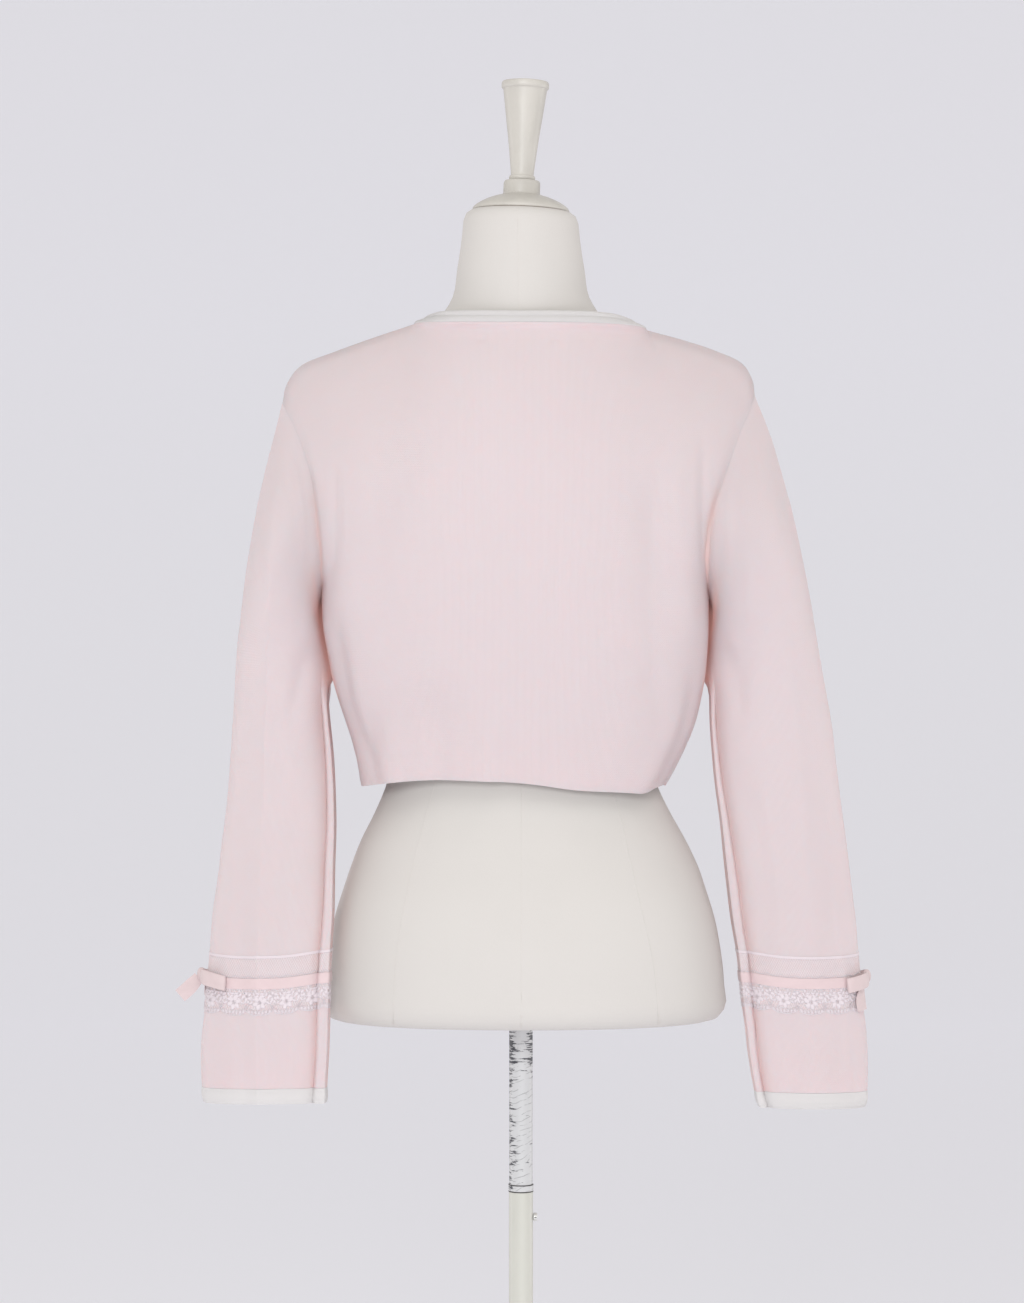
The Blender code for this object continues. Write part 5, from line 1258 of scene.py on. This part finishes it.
def aroundShell(name, side, zRows, offRows, thick, finish, columns=330):
    # a closed band round a sleeve, given the heights and lifts of its rows
    turn = np.arange(columns) / columns
    zRows, offRows = np.asarray(zRows, float), np.asarray(offRows, float)
    outer, normals = sleevePlace(side, turn[None], zRows[:, None], offRows[:, None] + thick)
    inner, _ = sleevePlace(side, turn[None], zRows[:, None], offRows[:, None])
    width = np.concatenate([outer, outer[:, :1]], axis=1)
    u = lengthsAcross(width)
    v = zRows[:, None] + 0 * u
    return shell(name, outer, inner, finish, True, np.stack([u, v], -1))


def scallopEdge(side, turn):
    # the lower edge: round arcs that hang between equal points
    phase = (turn * lace["scallops"]) % 1.0
    return lace["bottom"][side] - lace["scallop"] * np.sqrt(np.clip(np.sin(phase * np.pi), 0, 1))


def sleeveTubes(side, turn, z, off, radius, sides=4, closed=False):
    places, normals = sleevePlace(side, turn, z, off)
    return tubeArrays(places, normals, radius, sides, closed)


def petals(side, turns, zs, angle, long, wide, dome):
    # filled petals: ellipses with a soft dome, grid of length and width, all at once
    along, across = 7, 5
    s = np.linspace(0, 1, along)[None, :, None]
    w = np.linspace(-1, 1, across)[None, None, :]
    half = np.sin(np.pi * np.clip(s, 0.02, 0.98)) ** 0.6
    girth = perimeter[side]
    angles, lengths, widths = (np.full((len(turns), 1, 1), value) for value in (angle, long, wide))
    ahead = lengths * s
    aside = widths / 2 * half * w
    cosA, sinA = np.cos(angles), np.sin(angles)
    off = lace["petalOff"]
    turn = turns[:, None, None] + (ahead * cosA - aside * sinA) / girth
    z = zs[:, None, None] + ahead * sinA + aside * cosA
    lift = off + dome * (1 - w ** 2) * half
    outer, _ = sleevePlace(side, turn, z, lift)
    inner, _ = sleevePlace(side, turn, z, 0 * lift + off - 0.0002)
    count = len(turns)
    top = np.arange(count * along * across).reshape(count, along, across)
    under = top + top.size
    quads = np.concatenate([shellQuads(top[i], under[i], False) for i in range(count)])
    return np.concatenate([outer.reshape(-1, 3), inner.reshape(-1, 3)]), quads


perimeter = {side: float(lengthsAcross(np.concatenate(
    [sleeves[side][0][-30:-29], sleeves[side][0][-30:-29, :1]], axis=1))[0, -1]) for side in signOf}


def buildNet(side):
    # two families of fine threads cross at a slant to make the even net
    count = int(round(perimeter[side] / lace["netPitch"]))
    start = np.arange(count)[:, None] / count
    t = even(26)[None]
    top, low = lace["top"][side], lace["bottom"][side]
    families = []
    for slant, extra in ((1, -0.00006), (-1, -0.00001)):
        turn = start + slant * t * (top - low) * 0.62 / perimeter[side]
        bottom = scallopEdge(side, turn)
        z = top - 0.001 + (bottom + 0.0006 - top) * t
        families.append(sleeveTubes(side, turn, z, 0.0001 + extra, lace["netRadius"], 3))
    points, quads = joined(families)
    piece = newMesh("laceNet" + side.title(), points, quads, netThread, sharp=180)
    dress(piece, "lace_" + side)


def buildFloral(side):
    # the floral part: a scalloped cord edge, a flower in each scallop, sprays and leaves between
    n = lace["scallops"]
    fine = np.arange(n * 24) / (n * 24)
    edge = scallopEdge(side, fine)
    floralTop, upper = lace["floralTop"][side], lace["upperEdge"][side]
    ripple = 0.0009 * np.abs(np.sin(fine * n * 3 * np.pi))
    # cords round the sleeve: height, lift off the cloth, radius and sides
    cords = ((edge, 0.0003, 0.00040, 6),
             (edge + 0.0019, 0.0003, 0.00030, 4),
             (edge + 0.0034 + 0.0005 * np.sin(fine * n * 12 * np.pi), 0.0003, 0.00026, 4),
             (floralTop + ripple, 0.0004, 0.00040, 4),
             (floralTop - 0.0016 - ripple, 0.0003, 0.00028, 4),
             (upper - 0.0018 * np.abs(np.sin(fine * n * 2 * np.pi)), 0.0003, 0.00032, 4))
    parts = [sleeveTubes(side, fine[None], height[None], off, radius, sides, True)
             for height, off, radius, sides in cords]
    girth = perimeter[side]
    middle = (np.arange(n) + 0.5) / n
    heart = np.full(n, (floralTop + lace["bottom"][side]) / 2 - 0.0022)
    # flowers: petals round a small ring, a large one in each scallop and a small one between
    for count, start, long, wide, ringRadius, up, place in zip(*lace["flowers"].values()):
        turns, zs = (np.arange(n) + place) / n, heart + up
        for k in range(int(count)):
            angle = k * 2 * np.pi / count + start
            parts.append(petals(side, turns + ringRadius * np.cos(angle) / girth,
                                zs + ringRadius * np.sin(angle), angle, long, wide, lace["petalRise"]))
        ring = np.arange(10) / 10 * 2 * np.pi
        parts.append(sleeveTubes(side, turns[:, None] + ringRadius * 0.9 * np.cos(ring) / girth,
                                 zs[:, None] + ringRadius * 0.9 * np.sin(ring), 0.0006, 0.00028, 4, True))
    # two curved sprays from the point between scallops up and over each flower, with leaves
    joins = np.arange(n) / n
    t = even(10)[None]
    for way in (-1, 1):
        turn = joins[:, None] + way * lace["sprayWide"] * np.sin(t * np.pi / 2) / girth
        z = lace["bottom"][side] + lace["sprayFoot"] + lace["sprayHigh"] * t ** 0.8
        parts.append(sleeveTubes(side, turn, z, 0.0004, 0.00034))
        for share, tilt in zip(*lace["sprayLeaves"].values()):
            at = joins + way * lace["sprayWide"] * np.sin(share * np.pi / 2) / girth
            height = np.full(n, lace["bottom"][side] + lace["sprayFoot"] + lace["sprayHigh"] * share ** 0.8)
            for bow in (1, -1):
                angle = np.pi / 2 - way * tilt * 0.45 + way * bow * 0.85
                parts.append(petals(side, at, height, angle, *lace["sprayLeaf"], lace["petalRise"]))
    # leaves that fill each scallop's lower edge
    for k in range(-3, 4):
        turns = middle + k * lace["edgeLeafPitch"] / girth
        zs = scallopEdge(side, turns) + 0.0004
        parts.append(petals(side, turns, zs, np.pi / 2 - k * 0.22, *lace["edgeLeaf"], lace["leafRise"]))
    points, quads = joined(parts)
    dress(newMesh("laceFloral" + side.title(), points, quads, laceThread, sharp=180))


def buildLace(side):
    # the header line, the net and the flowers of one sleeve
    header = aroundShell("laceHeader" + side.title(), side,
                         lace["top"][side] - lace["header"] * np.array((0.0, 0.12, 0.5, 0.88, 1.0)),
                         5 * (0.0001,), 0.0004, headerThread)
    dress(header)
    buildNet(side)
    buildFloral(side)


def buildRibbon(side):
    # a band round the sleeve, crowned by a sine across its width
    top, width = ribbon["top"][side], ribbon["width"]
    shares = np.array((0.0, 0.06, 0.12, 0.3, 0.5, 0.7, 0.88, 0.94, 1.0))
    lift = ribbon["off"] + 0.0003 * np.sin(np.pi * shares)
    piece = aroundShell("ribbon" + side.title(), side, top - width * shares, lift, ribbon["thick"],
                        pinkRibbon)
    dress(piece, "ribbon_" + side)


for side in signOf:
    buildLace(side)
for side in signOf:
    buildRibbon(side)
print("stage: lace and ribbon")


# Bows

bow = {
    "off": 0.0016, "thick": 0.0007, "width": 0.0124, "start": 0.0040,
    "length": {"Back": 0.0272, "Front": 0.0185},
    "open": 0.0032, "rise": {"left": 0.0036, "right": 0.0014},
    "droop": 0.0040, "pinch": 0.35, "knot": (0.0036, 0.0040, 0.0064), "tailOff": 0.0022,
    "hanging": {
        ("left", "Front"): ((-0.0040, 0.0040), (-0.0080, 0.0110), (-0.0120, 0.0175), (-0.0140, 0.0250)),
        ("right", "Back"): ((0.0034, 0.0040), (0.0104, 0.0115), (0.0140, 0.0180), (0.0136, 0.0268)),
        ("right", "Front"): ((-0.0040, 0.0040), (-0.0080, 0.0110), (-0.0120, 0.0175), (-0.0140, 0.0250))},
    "free": {("left", "Back"): ((0.0020, 0.000, -0.0022), (0.0066, 0.0015, -0.0074),
                                (0.0120, 0.0025, -0.0128), (0.0178, 0.0020, -0.0178))},
}


def ribbonStrip(name, path, across, normals, width, node):
    # a flat ribbon with crowned middle along a path
    path = np.asarray(path)
    across, normals = unit(np.asarray(across)), unit(np.asarray(normals))
    shares = np.linspace(-0.5, 0.5, 11)
    crown = 0.0004 * (1 - (2 * shares) ** 2)
    grid = (path[:, None] + across[:, None] * shares[None, :, None] * width[:, None, None]
            + normals[:, None] * crown[None, :, None])
    outer = grid + normals[:, None] * bow["thick"] / 2
    inner = grid - normals[:, None] * bow["thick"] / 2
    length = np.concatenate([[0], np.cumsum(np.linalg.norm(np.diff(path, axis=0), axis=1))])
    uv = np.stack(np.broadcast_arrays(length[:, None], shares[None] * bow["width"]), -1)
    dress(shell(name, outer, inner, bowRibbon, False, uv), node)


def bowPlace(side, roundEdge, z, off):
    # a place at a distance round the sleeve from its outer edge
    return sleevePlace(side, np.asarray(roundEdge) / perimeter[side], z, off)


def buildBow(side):
    # knot, two loops and two tails: each loop's path is a circle drawn out along the sleeve
    middleZ = ribbon["top"][side] - ribbon["width"] / 2 + bow["rise"][side]
    knotAt, away = bowPlace(side, 0.0, middleZ, bow["off"] + bow["knot"][0])
    # the knot: a ribbon wrapped round, as a ball with soft lengthwise pleats
    turn, rise = np.meshgrid(np.linspace(0, 2 * np.pi, 49)[:-1], np.linspace(-1, 1, 25) * np.pi / 2 * 0.995)
    pleat = 1 + 0.05 * np.cos(turn * 7 + rise * 1.5) * np.cos(rise)
    girth = np.cos(rise) ** 0.7
    wide, deep, high = bow["knot"]
    grid = knotAt + np.stack([wide * girth * np.cos(turn) * pleat, deep * girth * np.sin(turn) * pleat,
                              high * 0.92 * np.sin(rise)], -1)
    number = np.arange(turn.size).reshape(turn.shape)
    quads = ringQuads(number)
    uvTurn = np.stack([turn * 0.004, rise * 0.006], -1).reshape(-1, 2)
    knot = newMesh("bowKnot" + side.title(), grid.reshape(-1, 3), quads, bowRibbon, uvTurn[quads], 180)
    dress(knot, "bow_%s_knot" % side)
    for face, way in (("Back", 1), ("Front", -1)):
        t = np.linspace(0, 1, 41)
        angle = bow["pinch"] + (2 * np.pi - 2 * bow["pinch"]) * t
        out = (1 - np.cos(angle)) / 2
        off = bow["off"] + bow["thick"] / 2 + bow["open"] * (1 + np.sin(angle))
        roundEdge = way * (bow["start"] + (bow["length"][face] - bow["start"]) * out)
        z = middleZ - bow["droop"] * out
        path, normal = bowPlace(side, roundEdge, z, off)
        over, _ = bowPlace(side, roundEdge, z + 0.004, off)
        facing = np.cross(np.gradient(path, axis=0), over - path)
        facing *= np.sign(np.einsum("ij,ij->i", facing, normal) * np.where(np.sin(angle) > 0, 1, -1))[0]
        pinched = bow["width"] * (0.72 + 0.28 * smoothStep(out * 3.0))
        ribbonStrip("bowLoop%s%s" % (face, side.title()), path, over - path, facing, pinched,
                    "bow_%s_loop_%s" % (side, face.lower()))
        key = (side, face)
        if key in bow["hanging"]:
            rows = between(np.array(bow["hanging"][key]), np.linspace(0, 3, 25))
            path, normal = bowPlace(side, rows[:, 0], middleZ - rows[:, 1], bow["tailOff"])
            across = np.cross(np.gradient(path, axis=0), normal)
            width = bow["width"] * (0.33 + 0.67 * smoothStep(np.linspace(0, 1, 25) / 0.5))
        else:
            rows = between(np.array(bow["free"][key]), np.linspace(0, 3, 25))
            path = knotAt + rows * (signOf[side], -1, 1)
            normal = np.broadcast_to(np.array((0.0, -1.0, 0.0)), path.shape)
            across = np.cross(np.gradient(path, axis=0), normal)
            width = bow["width"] * (0.8 + 0.2 * smoothStep(np.linspace(0, 1, 25) * 2))
        ribbonStrip("bowTail%s%s" % (face, side.title()), path, across, normal, width,
                    "bow_%s_tail_%s" % (side, face.lower()))


for side in signOf:
    buildBow(side)
print("stage: bows")


# Dress form and stand

form = {
    "sections": table(
        "z half centre back front square",
        (0.7350, 0.1600, 0.0020, -0.1000, 0.0900, 2.2), (0.7370, 0.1665, 0.0025, -0.1065, 0.0960, 2.2),
        (0.7434, 0.1713, 0.0030, -0.1110, 0.1000, 2.2), (0.7640, 0.1715, 0.0030, -0.1130, 0.1020, 2.2),
        (0.7970, 0.1680, 0.0030, -0.1130, 0.1030, 2.2), (0.8225, 0.1630, 0.0030, -0.1100, 0.1020, 2.2),
        (0.8450, 0.1561, 0.0030, -0.1050, 0.1000, 2.2), (0.8655, 0.1492, 0.0030, -0.0990, 0.0970, 2.1),
        (0.8880, 0.1395, 0.0020, -0.0910, 0.0930, 2.1), (0.9120, 0.1268, 0.0013, -0.0820, 0.0880, 2.1),
        (0.9400, 0.1150, 0.0005, -0.0740, 0.0840, 2.1), (0.9700, 0.1120, 0.0000, -0.0720, 0.0860, 2.1),
        (1.0100, 0.1200, 0.0000, -0.0780, 0.0980, 2.1), (1.0600, 0.1370, 0.0000, -0.0930, 0.1180, 2.1),
        (1.1100, 0.1450, 0.0000, -0.1030, 0.1240, 2.2), (1.1600, 0.1470, 0.0000, -0.1050, 0.1120, 2.2),
        (1.2100, 0.1520, 0.0000, -0.0980, 0.0900, 2.1), (1.2500, 0.1700, 0.0000, -0.0860, 0.0700, 2.0),
        (1.2780, 0.1780, 0.0000, -0.0760, 0.0590, 1.6), (1.2980, 0.1500, 0.0010, -0.0690, 0.0530, 1.5),
        (1.3150, 0.1080, 0.0010, -0.0620, 0.0505, 1.68), (1.3300, 0.0780, 0.0000, -0.0580, 0.0525, 1.9),
        (1.3480, 0.0620, 0.0000, -0.0560, 0.0540, 2.0), (1.3800, 0.0545, 0.0000, -0.0530, 0.0530, 2.0),
        (1.4100, 0.0503, 0.0000, -0.0500, 0.0500, 2.0), (1.4190, 0.0494, 0.0000, -0.0491, 0.0491, 2.0),
        (1.4248, 0.0472, 0.0000, -0.0470, 0.0470, 2.0), (1.4277, 0.0430, 0.0000, -0.0428, 0.0428, 2.0)),
    "neckTop": 1.4277, "neckFoot": 1.3480, "lean": math.radians(2.0), "capGap": 0.0006,
    "finialUp": 0.0266,
    "seams": {"centre": table("z x", (1.4255, -0.003), (1.34, -0.002), (0.92, 0.0), (0.737, 0.0)),
              "left": table("z x", (0.94, -0.072), (0.912, -0.080), (0.85, -0.095), (0.795, -0.104),
                            (0.737, -0.107)),
              "right": table("z x", (0.94, 0.076), (0.912, 0.083), (0.845, 0.098), (0.79, 0.110),
                             (0.737, 0.115))},
    "cap": ((0.0412, 0.0), (0.0417, 0.0006), (0.0417, 0.0014), (0.0409, 0.0028), (0.0390, 0.0046),
            (0.0355, 0.0070), (0.0300, 0.0098), (0.0240, 0.0121), (0.0190, 0.0135), (0.0166, 0.0143),
            (0.0158, 0.0155), (0.0158, 0.0238), (0.0155, 0.0251), (0.0146, 0.0263)),
    "finial": ((0.0098, 0.0), (0.0108, 0.0004), (0.0113, 0.0014), (0.0113, 0.0026), (0.0109, 0.0036),
               (0.0100, 0.0043), (0.0098, 0.0050), (0.0104, 0.0110), (0.0116, 0.0220), (0.0134, 0.0370),
               (0.0156, 0.0530), (0.0178, 0.0700), (0.0187, 0.0770), (0.0190, 0.0782), (0.0199, 0.0788),
               (0.0205, 0.0800), (0.0205, 0.0828), (0.0202, 0.0840), (0.0194, 0.0848), (0.0184, 0.0850)),
    "base": ((0.150, 0.0), (0.150, 0.0070), (0.1492, 0.0095), (0.1470, 0.0118), (0.1430, 0.0133),
             (0.138, 0.0140), (0.110, 0.0152), (0.070, 0.0166), (0.036, 0.0178), (0.0295, 0.0186),
             (0.0268, 0.0210), (0.0248, 0.0260), (0.0230, 0.0340), (0.0222, 0.0415), (0.0216, 0.0440),
             (0.0205, 0.0455), (0.0190, 0.0460)),
    "pole": 0.0104, "inner": 0.0101, "collar": 0.0107, "joint": 0.5862, "collarHigh": 0.0055, "hubTop": 0.046,
    "clamp": 0.5640,
}


def formRing(z, count):
    # a superellipse half in front and one behind, which may differ in depth
    rows = form["sections"]
    half, centre, back, front, square = (through(rows["z"], rows[key], z) for key in
                                         ("half", "centre", "back", "front", "square"))
    turn = np.linspace(0, np.pi, 240)
    x = half * power(np.cos(turn), 2 / square)
    deep = power(np.sin(turn), 2 / square)
    lean = (z - form["neckFoot"]) / (form["neckTop"] - form["neckFoot"]) * math.tan(form["lean"])
    level = z - x * max(float(lean), 0.0)
    ahead = along(np.stack([centre + x, front * deep, level], axis=1), even(count))
    behind = along(np.stack([centre + x, back * deep, level], axis=1), even(count))
    return np.concatenate([ahead, behind[-2:0:-1]])


def buildForm():
    # rings level by level, closed by fans at both ends
    rows = form["sections"]["z"]
    levels = np.unique(np.concatenate([np.linspace(a, b, max(2, int((b - a) / 0.006) + 1))
                                       for a, b in zip(rows, rows[1:])]))
    grid = np.array([formRing(z, 64) for z in levels])
    count = grid.shape[1]
    number = np.arange(grid.shape[0] * count).reshape(-1, count)
    quads = ringQuads(number)
    points = grid.reshape(-1, 3)
    ends = []
    for ring, row in ((number[0], 0), (number[-1], -1)):
        middle = len(points)
        points = np.concatenate([points, [grid[row].mean(axis=0)]])
        pairs = np.arange(0, count, 2)
        fan = np.stack([ring[pairs], np.full(len(pairs), middle), ring[(pairs + 2) % count],
                        ring[pairs + 1]], -1)
        ends.append(fan if row == 0 else fan[:, ::-1])
    piece = newMesh("formBody", points, np.concatenate([quads] + ends), formCloth, sharp=50)
    dress(piece, "torso")


buildForm()


def formSurface(x, z, behind=True):
    # the place on the form's back (or front) at x, found level by level
    places = []
    for level, ring in zip(np.atleast_1d(z), np.atleast_1d(x)):
        half = formRing(level, 64)
        half = half[64:] if behind else half[:65]
        order = np.argsort(half[:, 0])
        places.append([ring, np.interp(ring, half[order, 0], half[order, 1]), level])
    return np.array(places)


def buildFormSeams():
    # fine cords let into the form, along lines of x by height
    parts = []
    for behind in (True, False):
        for rows in form["seams"].values():
            z = np.linspace(rows["z"].min() + 0.001, rows["z"].max() - 0.001, 70)
            path = formSurface(through(rows["z"], rows["x"], z), z, behind)
            outward = np.tile(np.array((0.0, -1.0 if behind else 1.0, 0.0)), (len(path), 1))
            parts.append(tubeArrays(path[None] - outward[None] * 0.00015, outward[None], 0.00032, 6))
    points, quads = joined(parts)
    dress(newMesh("formSeams", points, quads, formSeam, sharp=180))


buildFormSeams()


def turnedNode(name, node, profile, finish, place=(0, 0, 0), lean=0.0, aim=None, sides=96):
    dress(turnedPiece(name, profile, sides, finish, place, lean, aim), node)


def buildStand():
    # turned profiles stacked on one axis; the neck's cap and finial lean
    axis = np.array((math.sin(form["lean"]), 0, math.cos(form["lean"])))
    foot = np.array((0, 0, form["neckTop"])) + axis * form["capGap"]
    turnedNode("neckCap", "neck_cap", form["cap"], creamPaint, foot, form["lean"])
    # a dark disc in the gap under the cap: painted shade of the gap
    turnedNode("neckCapGapShade", None, ((0.0409, 0.0), (0.0409, 0.00055)), paintedShadeBrown,
               foot - axis * 0.0006, form["lean"])
    turnedNode("finial", "finial", form["finial"], creamPaint,
               foot + axis * form["finialUp"], form["lean"])
    turnedNode("base", "base", form["base"], polePaint, sides=160)
    low, high = form["hubTop"] + 0.0003, form["joint"]
    turnedNode("outerPole", "outer_pole",
               ((form["pole"], low), (form["pole"], high - 0.0006), (form["pole"] - 0.0005, high)), polePaint)
    top = form["joint"] + form["collarHigh"]
    radius = form["collar"]
    turnedNode("poleCollar", "pole_collar",
               ((radius - 0.0004, high + 0.0003), (radius, high + 0.0007), (radius, top - 0.0004),
                (radius - 0.0004, top)), whiteTube)
    # dark bands at the collar's lower and upper edges: painted shade at the joints
    turnedNode("collarShadeLine", None,
               ((radius - 0.0006, high - 0.0004), (radius + 0.00004, high - 0.0002),
                (radius + 0.00004, high + 0.0004), (radius - 0.0006, high + 0.0006)), paintedShadeBlack)
    turnedNode("collarShadeLineTop", None,
               ((radius - 0.0006, top - 0.0002), (radius + 0.00004, top), (radius + 0.00004, top + 0.0005),
                (radius - 0.0006, top + 0.0007)), paintedShadeBlack)
    foot = form["sections"]["z"][0]
    turnedNode("innerPole", "inner_pole",
               ((form["inner"], top + 0.0003), (form["inner"], foot - 0.0003)), whiteTube)
    turnedNode("clampScrew", "clamp_screw",
               ((0.0030, 0.0), (0.0036, 0.0006), (0.0036, 0.0026), (0.0033, 0.0032), (0.0026, 0.0034)), steel,
               (form["pole"] + 0.0003, 0, form["clamp"]), aim=(1, 0, 0), sides=32)
    # the screw's slot: a narrow dark bar set across its head, painted shade for the slot's recess
    end = form["pole"] + 0.0003 + 0.0034
    reach, half = even(12)[None] * 0.0074 - 0.0037, np.array((-0.00035, 0.00035))[:, None]
    bulge = end + 0.00005 - 0.0009 * (np.abs(reach) / 0.0037) ** 4
    face = np.stack(np.broadcast_arrays(bulge, reach, form["clamp"] + half), -1)
    dress(shell("clampScrewSlotShade", face, face - (0.0016, 0, 0), paintedShadeBlack))


buildStand()
print("stage: form and stand")


# Seams: a fine raised line of linking stitches where panels meet

def seamTube(name, path, normals, radius=0.00042, closed=False):
    # a cord half sunk in the cloth
    points, quads = tubeArrays(path[None] - normals[None] * radius * 0.55, normals[None], radius, 6, closed)
    # the seam cord gets painted warm light below a height
    warm = paintedWarmth["seam"][0] * below(points[:, 2], "upTo")
    dress(newMesh(name, points, quads, pinkKnit, np.zeros((len(quads), 4, 2)), 180, warm))


for side in signOf:
    grid, normals = sleeves[side]
    seamTube("armholeSeam" + side.title(), grid[0], unit(normals[0] + normals[1]), closed=True)
print("stage: seams")
# Studio: one pale sheet for floor and wall, and soft light

studio = {"wall": 9.0, "curve": 2.2, "reach": 9.0, "colour": (0.70, 0.699, 0.742), "glow": 0.34,
          "air": (1.0, 0.972, 0.935), "airStrength": 0.625,
          "camera": (-0.0077, -3.0, 1.05), "lens": 96.4, "sensor": 36}


def sweep():
    # floor and wall in one sheet: a flat run, a quarter circle up, then a straight wall past every camera
    turn = np.linspace(0, math.pi / 2, 25)
    y = np.concatenate([[-studio["reach"]], studio["wall"] - studio["curve"] * (1 - np.sin(turn)),
                        [studio["wall"]]])
    z = np.concatenate([[0], studio["curve"] * (1 - np.cos(turn)), [studio["reach"]]]) - 0.001
    sides = np.array([[studio["reach"]], [-studio["reach"]]])
    grid = np.stack([sides + 0 * y, y + 0 * sides, z + 0 * sides], -1)
    finish = Nodes("studioPaper", studio["colour"], 0.9)
    finish.set("Emission Color", (*studio["colour"], 1.0))
    finish.set("Emission Strength", studio["glow"])
    finish.material.cycles.emission_sampling = "NONE"
    mesh = bpy.data.meshes.new("studioSweep")
    count = len(y)
    mesh.from_pydata(grid.reshape(-1, 3).tolist(), [],
                     [(n + 1, n, n + count, n + count + 1) for n in range(count - 1)])
    mesh.polygons.foreach_set("use_smooth", [True] * len(mesh.polygons))
    mesh.materials.append(finish.material)
    paper = bpy.data.objects.new("studioSweep", mesh)
    bpy.context.scene.collection.objects.link(paper)


sweep()


def softLight(name, place, target, size, watts, colour=(1, 1, 1)):
    # an area lamp turned to its target, out of the views
    data = bpy.data.lights.new(name, "AREA")
    data.shape = "RECTANGLE"
    data.size, data.size_y = size
    data.energy = watts
    data.color = colour
    lamp = bpy.data.objects.new(name, data)
    lamp.location = place
    lamp.rotation_euler = (Vector(target) - Vector(place)).to_track_quat("-Z", "Y").to_euler()
    lamp.visible_camera = False
    bpy.context.scene.collection.objects.link(lamp)


softLight("key", (-0.62, -3.1, 1.7), (0, 0, 1.0), (0.75, 0.75), 33, (0.95, 0.985, 1.0))
softLight("front", (0.95, -3.1, 0.5), (0, 0, 0.9), (2.8, 1.4), 25, (0.985, 0.99, 1.0))
softLight("top", (0.0, -1.2, 2.9), (0, 0, 1.2), (2.4, 1.2), 10)
for side, sign in signOf.items():
    softLight("fill" + side.title(), (sign * 1.25, 0.40, 0.95), (0, 0, 1.0), (0.3, 1.3), 4.0)

world = bpy.data.worlds.new("studioAir")
world.use_nodes = True
world.node_tree.nodes["Background"].inputs[0].default_value = (*studio["air"], 1.0)
world.node_tree.nodes["Background"].inputs[1].default_value = studio["airStrength"]
bpy.context.scene.world = world
bpy.context.scene.view_settings.view_transform = "Standard"

camera = bpy.data.objects.new("camera", bpy.data.cameras.new("camera"))
camera.data.lens = studio["lens"]
camera.data.sensor_width = studio["sensor"]
camera.location = studio["camera"]
camera.rotation_euler = (math.pi / 2, 0, 0)
bpy.context.scene.collection.objects.link(camera)
bpy.context.scene.camera = camera
